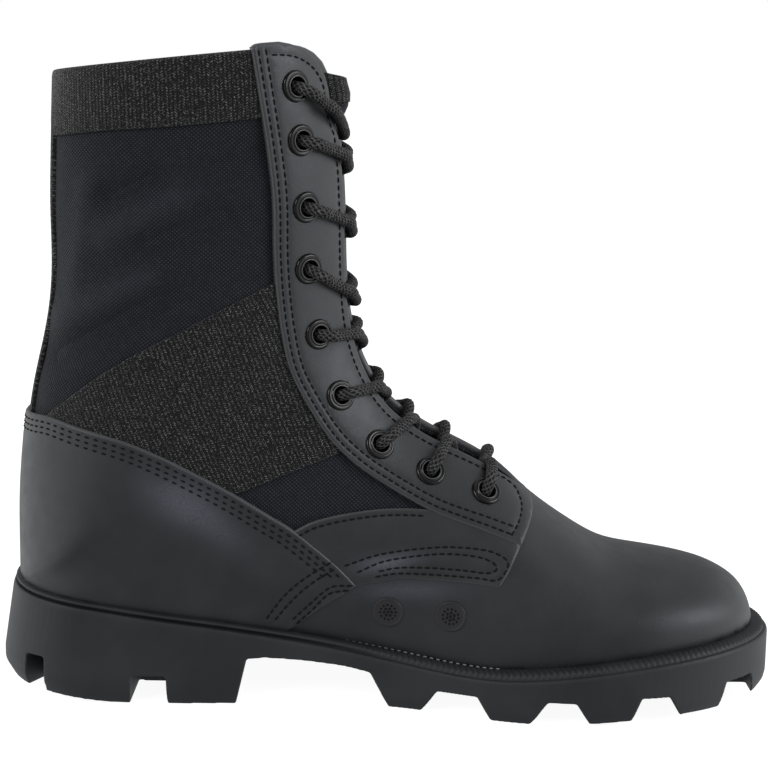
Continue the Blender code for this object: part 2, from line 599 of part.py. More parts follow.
def main():
    """Makes every subcomponent in its place in the assembly."""
    for thing in list(bpy.data.objects):
        bpy.data.objects.remove(thing, do_unlink=True)
    scene = bpy.context.scene
    parts = bpy.data.collections.new("tactical_boot")
    cutters = bpy.data.collections.new("cutters")
    scene.collection.children.link(parts)
    scene.collection.children.link(cutters)

    rubber = material("rubber", (0.012, 0.012, 0.013), 0.6)
    leather = material("leather", (0.014, 0.014, 0.015), 0.45)
    canvas = material("canvas", (0.016, 0.018, 0.026), 0.9)
    webbing = material("webbing", (0.018, 0.019, 0.024), 0.85)
    felt = material("felt", (0.05, 0.05, 0.05), 0.95)
    enamel = material("enamel", (0.01, 0.01, 0.011), 0.25, 0.3)
    cord = material("cord", (0.015, 0.016, 0.02), 0.8)

    finish(build_outsole(parts, cutters), rubber)
    finish(build_welt(parts), rubber)
    finish(build_insole(parts), felt)
    finish(build_tongue(parts), canvas)

    holes = []
    bore = [(0.0, -4.5), (EYELET_HOLE / 2, -4.5), (EYELET_HOLE / 2, 6.0), (0.0, 6.0)]
    for side, sign in SIDES.items():
        for k, (row, out) in enumerate(EYELETS):
            holes.append(disc(f"hole_{side}_{k + 1}", row, sign * out, 0.0, bore, 6, cutters))

    upper = skin_object("upper", ROWS, throat_at, parts)
    thicken(upper, 0.0, -WALL)
    finish(upper, canvas)

    looks = {LEATHER: leather, VAMP: leather, WEBBING: webbing}
    for name, outline, (y0, y1), thickness in panel_outlines():
        panel = skin_object(name, ROWS, throat_at, parts)
        thicken(panel, FIT, thickness)
        boolean(panel, "INTERSECT", prism(f"cut_{name}", inset(outline, FIT / 2), y0, y1, cutters))
        finish(panel, looks[thickness])

    for hole in holes:
        boolean(upper, "DIFFERENCE", hole)
        side = hole.name.split("_")[1]
        boolean(bpy.data.objects[f"eyestay_{side}"], "DIFFERENCE", hole)

    ring_profile = [(EYELET_HOLE / 2, 0.0), (EYELET_OUT / 2, 0.0), (EYELET_OUT / 2 - 0.9, EYELET_HIGH),
                    (EYELET_HOLE / 2 + 0.7, EYELET_HIGH)]
    for side, sign in SIDES.items():
        for k, (row, out) in enumerate(EYELETS):
            height = LEATHER + 3 * FIT
            eyelet = disc(f"eyelet_{side}_{k + 1}", row, sign * out, height, ring_profile, 7, parts)
            finish(eyelet, enamel)
    button = [(0.0, 0.0), (VENT_OUT / 2, 0.0), (VENT_OUT / 2, 0.5), (VENT_OUT / 2 - 0.8, VENT_HIGH),
              (0.0, VENT_HIGH)]
    for k, (row, out) in enumerate(VENTS):
        finish(disc(f"vent_{k + 1}", row, -out, VAMP + 3 * FIT, button, 12, parts), enamel)
    for thing in build_laces(parts, cutters):
        finish(thing, cord)

    for thing in cutters.objects:
        thing.hide_render = True
        thing.display_type = "WIRE"


if __name__ == "__main__":
    main()
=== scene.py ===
"""Looks of the tactical boot: leather, webbing, canvas, stitches, laced cord and moulded rubber sole.

Sizes are millimetres in the part's own frame: X to the toe, the inner side -Y, Z up, the floor Z = 0.
A place on the bootie is a section number and a distance over the surface from the top line, which is
negative on the inner side.
"""

import math

import bmesh
import bpy
import numpy as np
from mathutils import Matrix, Vector, kdtree
from mathutils.geometry import delaunay_2d_cdt


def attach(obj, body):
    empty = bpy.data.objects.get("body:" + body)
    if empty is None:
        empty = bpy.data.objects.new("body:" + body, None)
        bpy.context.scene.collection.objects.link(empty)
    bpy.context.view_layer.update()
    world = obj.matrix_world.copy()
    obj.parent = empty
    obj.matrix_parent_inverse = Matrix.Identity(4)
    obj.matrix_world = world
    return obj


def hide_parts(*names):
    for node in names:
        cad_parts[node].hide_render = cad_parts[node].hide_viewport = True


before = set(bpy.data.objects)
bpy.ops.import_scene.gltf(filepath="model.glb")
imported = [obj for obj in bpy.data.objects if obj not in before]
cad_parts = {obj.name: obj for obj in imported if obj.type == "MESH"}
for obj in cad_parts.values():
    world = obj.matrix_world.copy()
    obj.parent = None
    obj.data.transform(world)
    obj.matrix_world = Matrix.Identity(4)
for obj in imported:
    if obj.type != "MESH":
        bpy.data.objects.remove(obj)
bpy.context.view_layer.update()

MM = 0.001

# The last, as in the part's source
HEEL_X, TOE_X = -153.0, 153.0
HEEL_CAP, TOE_CAP = -112.0, 72.0
HEEL_POWER, TOE_POWER = 2.2, 1.95
SKIN_TOE, SKIN_HEEL = 144.4, -143.2
WALL, FOOT_GAP = 1.6, 0.5
LACE_D = 4.4
PLAN = np.array([
    # x, centre, half
    (-160, 0.0, 38.0), (-110, 0.0, 38.0), (-60, 0.8, 36.8), (-20, 1.8, 36.0), (10, 1.8, 40.0),
    (45, 1.2, 50.2), (72, 0.0, 52.5), (100, -2.0, 52.5), (130, -3.6, 52.5), (160, -5.0, 52.5),
])
PLAN[:, 1] -= 0.15
RIM = np.array([
    # x, z
    (-155, 41.4), (-125, 38.6), (-97, 34.3), (-66, 30.0), (-36, 25.2), (-10, 20.8), (15, 17.2),
    (38, 16.0), (60, 17.6), (80, 20.4), (100, 23.3), (116, 25.0), (132, 26.2), (155, 27.0),
])
UNDER = np.array([
    # x, z
    (-155, 5.0), (-130, 3.2), (-108, 0.6), (-96, 0.0), (-50, 0.0), (0, 0.0),
    (57, 0.0), (78, 1.2), (96, 2.6), (115, 3.6), (132, 4.1), (155, 4.6),
])
# Insets from the plan at the heel, at the side to the rear and to the front, and at the toe
FEATHER = (9.8, 8.3, 8.9, 8.6)
WELT_OUT = (5.5, 3.2, 1.8, 1.7)
INSOLE_EDGE = (14.4, 11.4, 12.0, 13.2)
CHANNELS = np.array([
    # floor_rear, floor_front, top_rear, top_front, ceiling
    (-97.6, -83.4, -97.2, -84.0, 11.2), (14.4, 40.6, 20.4, 35.2, 9.0), (55.4, 78.3, 61.6, 72.4, 9.2),
    (92.4, 114.2, 97.0, 107.6, 11.5), (127.2, 144.4, 131.2, 142.2, 14.0),
])
CHANNEL_IN = 13.0
# The hollow under the arch, in the side view
ARCH = [(-57.6, -2.0), (-53.0, 18.0), (-46.0, 18.6), (-30.0, 17.4), (-15.0, 15.6), (-5.5, 13.6), (3.0, -2.0)]
# x, y, bearing, start, width and ceiling
HEEL_NOTCH = (-122.0, 5.0, 64.0, 16.0, 8.0, 17.0)
SECTIONS = np.array([
    # run, top_x, top_z, medial, lateral, widest, shoulder
    (0.0, 144.4, 27.0, 0.0, 0.0, 0.30, 2.00), (0.9, 143.5, 34.2, 8.4, 8.4, 0.30, 2.00),
    (3.8, 140.7, 40.7, 15.2, 15.2, 0.30, 2.05), (8.8, 135.8, 45.1, 22.1, 22.1, 0.30, 2.10),
    (17.2, 127.4, 48.7, 29.5, 29.5, 0.30, 2.15), (29.5, 115.2, 51.0, 36.4, 36.4, 0.29, 2.20),
    (43.5, 101.2, 52.4, 41.5, 41.5, 0.28, 2.25), (58.0, 87.2, 55.2, 44.2, 44.2, 0.27, 2.20),
    (72.5, 73.5, 62.8, 45.0, 45.2, 0.26, 2.10), (88.0, 60.0, 72.3, 44.2, 45.0, 0.26, 2.02),
    (105.5, 46.6, 83.2, 41.2, 43.6, 0.27, 1.95), (126.5, 33.2, 92.6, 37.2, 40.4, 0.30, 1.90),
    (151.5, 19.6, 100.0, 34.2, 37.8, 0.35, 1.88), (180.5, 7.6, 107.4, 33.0, 36.2, 0.40, 1.90),
    (210.5, -1.6, 116.2, 33.2, 35.4, 0.42, 1.92), (238.5, -7.6, 125.8, 34.0, 35.0, 0.42, 1.95),
    (260.5, -11.0, 134.0, 34.4, 35.0, 0.43, 1.97), (275.0, -12.9, 140.2, 34.8, 35.2, 0.44, 1.98),
    (283.6, -14.1, 145.0, 35.1, 35.4, 0.44, 1.99), (287.6, -14.9, 149.0, 35.3, 35.5, 0.45, 2.00),
    (297.0, -15.8, 154.6, 35.5, 35.6, 0.45, 2.00), (315.0, -16.7, 162.6, 35.8, 35.8, 0.46, 2.02),
    (337.0, -17.4, 172.2, 36.2, 36.2, 0.46, 2.05), (361.0, -18.0, 182.8, 36.8, 36.8, 0.47, 2.08),
    (386.0, -18.8, 194.2, 37.8, 37.8, 0.47, 2.10), (412.0, -20.0, 206.6, 39.0, 39.0, 0.48, 2.12),
    (438.0, -21.6, 220.0, 40.2, 40.2, 0.48, 2.15), (463.0, -23.9, 234.4, 41.2, 41.2, 0.49, 2.18),
    (488.5, -26.6, 252.0, 42.0, 42.0, 0.49, 2.20),
])
LAST_ROW = len(SECTIONS) - 1.0
HEEL_ROW = 19.0
# Above the heel: power of the rounding, sections that it reaches, share of a section that is eased,
# sections eased to each side, and sections where places are found by steps
HEEL_ROUND, HEEL_REACH, HEEL_FADE, HEEL_EASE, HEEL_NEAR = 2.15, 3.6, 0.85, 2.0, 2.3
BACK = np.array([
    # z, x of the back seam
    (40, -143.2), (56, -143.2), (76, -142.8), (95, -141.2), (110, -139.3), (124, -136.6), (138, -133.2),
    (152, -130.6), (168, -129.4), (188, -129.4), (207, -128.8), (225, -128.0), (245, -127.0),
])
THROAT = np.array([
    # section, gap
    (9.6, 0.0), (10.0, 6.5), (10.6, 9.0), (12.0, 9.8), (16.0, 10.4), (23.0, 11.0),
    (25.8, 11.2), (26.4, 13.4), (26.9, 15.0), (27.3, 17.4), (27.58, 21.0), (27.8, 26.5),
    (27.93, 32.0), (28.0, 38.0),
])
THROAT_ROW = 9.6
EYELETS = np.array([
    # section, distance
    (27.15, 33.0), (25.95, 32.4), (24.3, 31.4), (22.5, 30.6), (19.8, 27.5), (15.4, 25.7),
    (13.45, 25.4), (12.0, 24.0), (10.6, 22.3),
])
# section, distance
VENTS = [(11.9, 79.7), (10.85, 72.4)]

# Edges of the pieces in the side view
COUNTER_TOP = [(-128, 110.2), (-115, 107.8), (-99, 103.9), (-85.5, 98.6), (-72, 91.7), (-58, 84),
               (-44.5, 75.6), (-35, 69.5), (-20, 57.2), (-11, 48.3)]
COUNTER_FRONT = [(-11, 48.3), (-16, 45), (-25.7, 38.3), (-35, 30.7), (-41, 26.8)]
PATCH_TOP = [(-35, 69.5), (-28.3, 72.9), (-18, 75.4), (-4.6, 77), (5.7, 77.1), (15.2, 76.5)]
PATCH_FRONT = [(50.8, 63.4), (46.5, 55.1), (43.1, 49.7)]
PATCH_LOW = [(43.1, 49.7), (33, 50.6), (16.4, 51.3), (6, 51.4), (-4, 49.6), (-11, 48.3)]
PATCH_HIDDEN_TOP = [(15.2, 76.5), (24, 78), (40, 73), (51.2, 66.5), (50.8, 63.4)]
PATCH_HIDDEN_REAR = [(-11, 48.3), (-18, 48), (-30, 58), (-40, 66), (-35, 69.5)]
STAY_REAR = [(-49.7, 235.5), (-46.2, 213), (-44.2, 194.6), (-43.9, 175.8), (-43.2, 161.6),
             (-41.4, 145.7), (-38.4, 131.4), (-33.2, 119.9), (-25, 106.6), (-17.4, 97.8), (-5.6, 88.5),
             (15.2, 76.5), (37.4, 68.5), (50.8, 63.4)]
STAY_FRONT = [(50.8, 63.4), (53.6, 68.6), (55.3, 72.4)]
STRAP_TOP = [(-127, 112.5), (-113.6, 123.5), (-96.4, 135.2), (-77.4, 145.5), (-59, 155.3), (-43.4, 163.2)]
STRAP_LOW = [(-17.8, 98.4), (-37.2, 91.4), (-57.2, 83.5)]
STRAP_HIDDEN_FRONT = [(-43.4, 163.2), (-37, 165), (-33, 148), (-28, 128), (-17, 110), (-17.8, 98.4)]
STRAP_HIDDEN_REAR = [(-57.2, 83.5), (-66, 82), (-84, 90), (-110, 99), (-133, 103), (-127, 112.5)]
VAMP_HIDDEN = [(-50, 28.4), (-38, 42), (-16, 55), (8, 58), (36, 57), (41, 64), (43, 74), (42.6, 80)]
BAND_LOW = [(-126, 215), (-104.5, 218), (-76, 220.5), (-48, 223.6)]
# Sections at the top of the canvas and of the band
CANVAS_TOP, BAND_TOP = 27.84, 27.86
# Height of the counter at the back seam, and slant of the straps' weave in degrees
COUNTER_BACK, STRAP_TURN = 108.8, 30.0

# Rows of stitches: distances inside an edge, lines in the side view, and sections with distances
COUNTER_ROWS, STAY_ROWS, STAY_INSET = (2.4, 4.5, 6.6), (2.0, 4.4), 3.6
COUNTER_ARCS = [
    [(-21, 57.5), (-31, 51), (-39, 43.5), (-46, 33.5)],
    [(-19.5, 55), (-29, 48.5), (-36.6, 41), (-43.5, 32)],
    [(-12.5, 48.5), (-21, 47.6), (-29, 40.5), (-37, 32.4)],
    [(-14, 46.6), (-21.5, 45), (-28, 38.2), (-34.5, 31.6)],
]
PATCH_LOOPS = [
    [(-16, 56), (-2, 60.6), (20, 63.2), (36, 62.6), (43.5, 60.5), (46.2, 57.4), (42.4, 52.4), (34, 52.8),
     (16, 53.4), (4, 53.4), (-6, 51.6)],
    [(-11, 53.6), (0, 58.2), (20, 60.8), (34, 60.2), (40.6, 58.2), (42, 56), (38.5, 54.6), (30, 55.2),
     (16, 55.8), (4, 55.6), (-5, 53.6)],
]
STAY_TOE = [(46.8, 66.2), (49.8, 70.6), (50.8, 75.0), (48.6, 79.6), (44.5, 83.0)]
STAY_NOSE = [(9.35, 9.5), (9.42, 6.4), (9.7, 5.6), (10.05, 7.2), (10.4, 8.4)]
STAY_CROWN = [(27.1, 19.6), (27.42, 23.4), (27.62, 28.5), (27.73, 34.0), (27.77, 40.0), (27.78, 43.0)]

# Troughs and ridges: ends in the side view, depth, half width
WRINKLES = [
    ((-106, 193), (-84, 203), -1.7, 5.0), ((-108, 179), (-74, 196), 1.7, 5.5),
    ((-92, 176), (-58, 190), -1.9, 5.5), ((-126, 146), (-86, 166), 1.9, 5.5),
    ((-128, 131), (-82, 160), -2.2, 5.5), ((-118, 158), (-110, 204), 1.2, 5.0),
    ((-70, 206), (-44, 212), -0.8, 6.0),
]
STAY_CREASES = [((-31, 229), (-19, 219), -1.4, 4.6), ((-26, 214), (-18, 205), -0.3, 3.0)]
PATCH_CREASES = [((-8, 54.5), (14, 58.5), 0.6, 3.2)]
# Painted sheens, highlights painted into the colour: centre in the side view, bearing, half sizes and
# strength
COUNTER_SHEENS = [(-77, 81, -31, 15, 7.5, 0.5), (-62, 69, -35, 14, 6, 0.22)]
PATCH_SHEENS = [(0, 57.2, 8, 11, 3.2, 0.5)]
BAND_SHEENS = [(-127, 238, 80, 16, 7, 1.0)]
VAMP_SHEENS = [(8, 47, 3, 18, 3.4, 0.3)]

# Heights of the tops of the pieces above the bootie
WEBBING_TOP, VAMP_TOP, PATCH_TOP_H, COUNTER_H, STAY_H = 1.3, 1.6, 2.3, 2.8, 3.0
SIDES = {"medial": -1, "lateral": 1}

# Radii of the holes for the eyelets in the eyestay and in the canvas
STAY_HOLE, CANVAS_HOLE = 4.2, 4.4
SECTION_POINTS = 240
THREAD, THREAD_SIDES = 0.7, 6
# Length from stitch to stitch and the share that shows, of most rows and of the rows along the counter's top
PITCH, DASH = 2.9, 0.72
TOP_PITCH, TOP_DASH = 3.5, 0.5
# The outsole: steps along a side, voxel size, rounds of smoothing and share of the faces kept
RIM_STEPS, SOLE_VOXEL, SOLE_SMOOTH, SOLE_KEEP = 90, 0.5, 2, 0.19


def unit(vectors):
    return vectors / np.linalg.norm(vectors, axis=-1, keepdims=True)


def cos_sin(degrees):
    return math.cos(math.radians(degrees)), math.sin(math.radians(degrees))


def turns(count):
    """Even angles round a circle."""
    return np.linspace(0, 2 * math.pi, count + 1)[:-1]


def soft_step(share):
    return share * share * (3 - 2 * share)


def runs_along(points):
    """Lengths along a line of points, from its start."""
    return np.concatenate([[0], np.cumsum(np.linalg.norm(np.diff(points, axis=0), axis=1))])


def resampled(places, runs, line):
    """A line read at other places; runs are the places of its own points."""
    return np.column_stack([np.interp(places, runs, column) for column in line.T])


def ring_faces(levels, n):
    """Faces between neighbouring rings of n points."""
    return [(k * n + i, k * n + (i + 1) % n, (k + 1) * n + (i + 1) % n, (k + 1) * n + i)
            for k in range(levels - 1) for i in range(n)]


def sheet_faces(rows, c):
    """Faces between neighbouring open rows of c points."""
    return [(i * c + j, (i + 1) * c + j, (i + 1) * c + j + 1, i * c + j + 1)
            for i in range(rows - 1) for j in range(c - 1)]


def gathered(parts):
    """Several sets of points and faces as one."""
    points, faces, start = [], [], 0
    for part_points, part_faces in parts:
        points.append(part_points)
        faces += [[start + v for v in face] for face in part_faces]
        start += len(part_points)
    return np.vstack(points), faces


def spline(table):
    """A natural cubic through the rows of a table; the first column is the place along it."""
    xs, ys = table[:, 0].astype(float), table[:, 1:].astype(float)
    n, h = len(xs), np.diff(xs)
    a, b = np.eye(n), np.zeros_like(ys)
    for i in range(1, n - 1):
        a[i, i - 1:i + 2] = h[i - 1], 2 * (h[i - 1] + h[i]), h[i]
        b[i] = 6 * ((ys[i + 1] - ys[i]) / h[i] - (ys[i] - ys[i - 1]) / h[i - 1])
    m = np.linalg.solve(a, b)

    def at(x):
        x = min(max(float(x), xs[0]), xs[-1])
        i = min(max(int(np.searchsorted(xs, x)) - 1, 0), n - 2)
        p, q = (xs[i + 1] - x) / h[i], (x - xs[i]) / h[i]
        return p * ys[i] + q * ys[i + 1] + ((p ** 3 - p) * m[i] + (q ** 3 - q) * m[i + 1]) * h[i] ** 2 / 6

    return at


plan_at, rim_spline, back_spline = spline(PLAN), spline(RIM), spline(BACK)
section_at = spline(np.column_stack([np.arange(len(SECTIONS)), SECTIONS]))


def rim_at(x):
    return float(rim_spline(x)[0])


def under_at(x):
    return float(np.interp(x, UNDER[:, 0], UNDER[:, 1]))


def throat_at(row):
    return np.interp(row, THROAT[:, 0], THROAT[:, 1])


def round_end(x, end, start, power):
    t = min(max((x - start) / (end - start), 0.0), 1.0)
    return (1.0 - t ** power) ** (1.0 / power)


def half_at(x, insets):
    """Centre line and half width at x of the plan drawn in by insets at heel, side and toe."""
    heel, rear, front, toe = insets
    centre, half = plan_at(x)
    side = rear + (front - rear) * min(max((x + 110) / 110, 0.0), 1.0)
    half = (half - side) * round_end(x, HEEL_X + heel, HEEL_CAP, HEEL_POWER)
    return centre, half * round_end(x, TOE_X - toe, TOE_CAP, TOE_POWER)


def drawn_in(insets, by):
    return tuple(np.array(insets) + by)


def ring(insets, height, steps):
    """A closed outline: up the inner side from the heel, and back down the outer side."""
    heel, toe = HEEL_X + insets[0], TOE_X - insets[3]
    inner, outer = [], []
    for i in range(steps + 1):
        x = heel + (toe - heel) * (1 - math.cos(math.pi * i / steps)) / 2
        centre, half = half_at(x, insets)
        inner.append((x, centre - half, height(x)))
        outer.append((x, centre + half, height(x)))
    return inner + outer[-2:0:-1]


def base_point(run):
    length = SKIN_TOE - SKIN_HEEL
    if run <= length:
        x = SKIN_TOE - run
        return x, rim_at(x) + FOOT_GAP
    z = rim_at(SKIN_HEEL) + FOOT_GAP + run - length
    return float(back_spline(z)[0]), z


def heel_round(x, z):
    """The share of the full width at a place near the heel, as the plan of the sole rounds off there."""
    ahead = x - float(back_spline(max(z, rim_at(SKIN_HEEL) + FOOT_GAP))[0])
    return half_at(SKIN_HEEL + max(ahead, 0.0), FEATHER)[1] / HEEL_FULL


HEEL_FULL = half_at(HEEL_CAP, FEATHER)[1]


def section(row, side):
    """One half section of the bootie: points from the top line to the base line, and their shares."""
    count = SECTION_POINTS
    run, top_x, top_z, medial, lateral, widest, shoulder = section_at(row)
    base_x, base_z = base_point(run)
    wide = medial if side < 0 else lateral
    foot = half_at(base_x, FEATHER)[1] if run < SKIN_TOE - SKIN_HEEL else 0.0
    centre = plan_at(base_x)[0] * min(max((row - 20) / -12, 0.0), 1.0)
    if row <= 0:
        return np.tile((base_x, centre, base_z), (count - 1, 1)), np.linspace(1, 0, count - 1)
    wide = max(wide, foot + 0.05)
    fold = (1 - (foot / wide) ** HEEL_ROUND) ** (1 / HEEL_ROUND)
    turn = np.linspace(0, math.pi / 2, count // 2)
    part = np.linspace(0, 1, count // 2)[1:]
    share = np.concatenate([widest + (1 - widest) * np.cos(turn) ** (2 / shoulder), widest * (1 - part)])
    lower = wide * np.maximum(1 - (fold * part) ** HEEL_ROUND, 0) ** (1 / HEEL_ROUND)
    close = max(1 - abs(row - HEEL_ROW) / HEEL_REACH, 0.0)
    if close > 0:
        low = widest * (1 - part)
        blunt = [heel_round(base_x + (top_x - base_x) * k, base_z + (top_z - base_z) * k) for k in low]
        blunt = np.minimum(blunt, 1) * (wide + (HEEL_FULL - wide) * part ** 2)
        ease = np.minimum(part / 0.2, 1)
        lower += close ** 2 * (3 - 2 * close) * ease ** 2 * (3 - 2 * ease) * (blunt - lower)
    across = np.concatenate([wide * np.sin(turn) ** (2 / shoulder), lower])
    points = np.column_stack([base_x + (top_x - base_x) * share, centre + side * across,
                              base_z + (top_z - base_z) * share])
    return points, share


class Skin:
    """The outside of the bootie as a fine table of points, for quick reading at many places."""

    STEP, COLS = 1 / 16, 240

    def __init__(self):
        self.rows = np.arange(0, LAST_ROW + self.STEP / 2, self.STEP)
        n = len(self.rows)
        self.points = np.zeros((2, n, self.COLS + 1, 3))
        self.shares = np.zeros((2, n, self.COLS + 1))
        self.span = np.zeros((2, n))
        for k, side in enumerate((-1, 1)):
            for i, row in enumerate(self.rows):
                points, share = section(row, side)
                runs = runs_along(points)
                if runs[-1] < 1e-6:
                    runs = np.linspace(0, 1e-3, len(runs))
                even = np.linspace(0, runs[-1], self.COLS + 1)
                self.points[k, i] = resampled(even, runs, points)
                self.shares[k, i] = np.interp(even, runs, share)
                self.span[k, i] = runs[-1]
        self.ease_heel()
        along = np.gradient(self.points, axis=1)
        down = np.gradient(self.points, axis=2)
        signs = np.array([-1.0, 1.0])[:, None, None, None]
        normals = np.cross(signs * down, along)
        size = np.linalg.norm(normals, axis=-1, keepdims=True)
        self.normals = normals / np.maximum(size, 1e-12)
        self.normals[:, 0] = self.normals[:, 1]
        self.normals[:, :, 0] = unit(self.normals[0, :, 0] + self.normals[1, :, 0])
        back = slice(int(HEEL_ROW / self.STEP), n)
        seam = self.normals[0, back, -1] * (1, 0, 1) + self.normals[1, back, -1] * (1, 0, 1)
        self.normals[:, back, -1] = unit(seam)
        self.ahead = runs_along(self.points[0, :, self.COLS // 2])
        self.runs = np.array([section_at(r)[0] for r in self.rows])

    def ease_heel(self):
        """Evens out the fold that the turn of the base line at the heel leaves in the sections above it."""
        middle, reach, spread = int(HEEL_ROW / self.STEP), int(HEEL_EASE / self.STEP), 0.5 / self.STEP
        offsets = np.arange(-int(2.5 * spread), int(2.5 * spread) + 1)
        weights = np.exp(-0.5 * (offsets / spread) ** 2)
        rows = np.arange(middle - reach, middle + reach + 1)
        part = np.minimum(2 * np.cos(0.5 * math.pi * (rows - middle) / (reach + 1)) ** 2, 1)
        fade = soft_step(np.clip((HEEL_FADE - np.linspace(0, 1, self.COLS + 1)) / 0.3, 0, 1))
        for table, share in (self.points, (part[:, None] * fade)[..., None]), (self.span, part):
            eased = sum(w * table[:, rows + o] for w, o in zip(weights / weights.sum(), offsets))
            table[:, rows] += share * (eased - table[:, rows])

    def weights(self, row, distance):
        row = np.clip(np.asarray(row, float), 0, LAST_ROW)
        distance = np.asarray(distance, float)
        k = (distance > 0).astype(int)
        i = np.minimum((row / self.STEP).astype(int), len(self.rows) - 2)
        f = row / self.STEP - i
        span = self.span[k, i] * (1 - f) + self.span[k, i + 1] * f
        v = np.clip(np.abs(distance) / np.maximum(span, 1e-6), 0, 1) * self.COLS
        j = np.minimum(v.astype(int), self.COLS - 1)
        g = v - j
        return k, i, j, ((1 - f) * (1 - g), (1 - f) * g, f * (1 - g), f * g)

    def read(self, table, row, distance):
        k, i, j, w = self.weights(row, distance)
        corners = table[k, i, j], table[k, i, j + 1], table[k, i + 1, j], table[k, i + 1, j + 1]
        return sum(a[..., None] * c for a, c in zip(w, corners))

    def at(self, row, distance, height=0.0):
        """Points this far out from the bootie."""
        normal = self.normal(row, distance)
        return self.read(self.points, row, distance) + normal * np.asarray(height, float)[..., None]

    def normal(self, row, distance):
        return unit(self.read(self.normals, row, distance))

    def length(self, row, side):
        return np.interp(row, self.rows, self.span[0 if side < 0 else 1])

    def left(self, row, distance):
        """The length still left to the base line, on the side that each distance is on."""
        return np.where(distance > 0, self.length(row, 1), self.length(row, -1)) - np.abs(distance)

    def find(self, x, z, side):
        """The section and distance of a place in the side view."""
        k = 0 if side < 0 else 1
        top, base = self.points[k, :, 0][:, [0, 2]], self.points[k, :, -1][:, [0, 2]]
        chord, arm = top - base, np.array((x, z)) - base
        cross = chord[:, 0] * arm[:, 1] - chord[:, 1] * arm[:, 0]
        share = (chord * arm).sum(1) / np.maximum((chord ** 2).sum(1), 1e-9)
        best = None
        for i in np.nonzero(cross[1:-1] * cross[2:] <= 0)[0] + 1:
            f = cross[i] / (cross[i] - cross[i + 1] + 1e-12)
            s = share[i] * (1 - f) + share[i + 1] * f
            miss = max(0.0, -s, s - 1)
            if best is None or miss < best[0]:
                best = (miss, i, f, min(max(s, 0.0), 1.0))
        if best is None:
            best = (9, len(self.rows) - 2, 1.0, float(np.clip(share[-1], 0, 1)))
        _, i, f, s = best
        even = np.linspace(1, 0, self.COLS + 1)
        v = [float(np.interp(s, self.shares[k, n, ::-1], even)) for n in (i, i + 1)]
        span = self.span[k, i] * (1 - f) + self.span[k, i + 1] * f
        row, distance = (i + f) * self.STEP, side * (v[0] * (1 - f) + v[1] * f) * span
        if abs(row - HEEL_ROW) < HEEL_NEAR and abs(distance) < HEEL_FADE * span:
            by_row, by_distance = 0.03, 0.3 * side
            for _ in range(3):
                here, up, on = (self.read(self.points, row + a, distance + b)[[0, 2]]
                                for a, b in ((0, 0), (by_row, 0), (0, by_distance)))
                slopes = np.column_stack([(up - here) / by_row, (on - here) / by_distance])
                move = np.linalg.solve(slopes, (x, z) - here)
                row, distance = row + move[0], distance + move[1]
        return row, distance

    def inward(self, rows, distances, closed):
        """The step over the surface, to the left of a path, as sections and distances for each millimetre."""
        rows, distances = np.asarray(rows, float), np.asarray(distances, float)
        points = self.at(rows, distances)
        if closed:
            tangent = np.roll(points, -1, 0) - np.roll(points, 1, 0)
        else:
            tangent = np.gradient(points, axis=0)
        tangent /= np.maximum(np.linalg.norm(tangent, axis=1, keepdims=True), 1e-9)
        left = np.cross(self.normal(rows, distances), tangent)
        step = 0.15
        low, high = np.clip(rows - step, 0, LAST_ROW), np.clip(rows + step, 0, LAST_ROW)
        by_row = (self.at(high, distances) - self.at(low, distances)) / (high - low)[:, None]
        reach = 0.4 * np.sign(distances + 1e-9)
        by_distance = (self.at(rows, distances) - self.at(rows, distances - reach)) / reach[:, None]
        aa, bb, ab = (by_row ** 2).sum(1), (by_distance ** 2).sum(1), (by_row * by_distance).sum(1)
        ra, rb = (by_row * left).sum(1), (by_distance * left).sum(1)
        det = np.maximum(aa * bb - ab * ab, 1e-6)
        return (ra * bb - rb * ab) / det, (rb * aa - ra * ab) / det


skin = Skin()


def smooth_curve(points, step=1.2):
    """A curve through the points, read at an even step."""
    pts = np.array(points, float)
    ends = np.vstack([2 * pts[0] - pts[1], pts, 2 * pts[-1] - pts[-2]])
    out = []
    for i in range(len(pts) - 1):
        p0, p1, p2, p3 = ends[i:i + 4]
        count = max(2, int(round(np.linalg.norm(p2 - p1) / step)))
        t = np.linspace(0, 1, count + 1)[:-1, None]
        out.append(0.5 * (2 * p1 + (p2 - p0) * t + (2 * p0 - 5 * p1 + 4 * p2 - p3) * t ** 2
                          + (3 * p1 - p0 - 3 * p2 + p3) * t ** 3))
    return np.vstack(out + [pts[-1:]])


def found_on(curve, side):
    """The sections and distances of a curve in the side view."""
    return np.array([skin.find(x, z, side) for x, z in curve])


def side_edge(points, side, step=1.2):
    """An edge of the side view as sections and distances."""
    return found_on(smooth_curve(points, step), side)


def beside(points, distance):
    """A curve of the side view moved to its left by a distance."""
    curve = smooth_curve(points)
    ahead = unit(np.gradient(curve, axis=0))
    return curve + distance * np.column_stack([-ahead[:, 1], ahead[:, 0]])


BACK_REACH, BACK_HALF = 42.0, 36.0
BACK_TURN = np.linspace(0, math.pi / 2, 60)
BACK_ROUND = np.column_stack([BACK_REACH * (1 - np.cos(BACK_TURN)), BACK_HALF * np.sin(BACK_TURN)])
BACK_RUN = runs_along(BACK_ROUND)


def level_map(points):
    """Flat places for a weave: the way round the shaft from the back seam, and the height."""
    ahead = points[:, 0] - np.interp(points[:, 2], BACK[:, 0], BACK[:, 1])
    around = np.interp(ahead, BACK_ROUND[:, 0], BACK_RUN) + np.maximum(ahead - BACK_REACH, 0)
    return np.column_stack([around, points[:, 2]])


def base_edge(first, last, side, count):
    rows = np.linspace(first, last, count)
    return np.column_stack([rows, side * skin.length(rows, side)])


def front_chart(rows, distances):
    return np.column_stack([np.interp(rows, skin.rows, skin.ahead), distances])


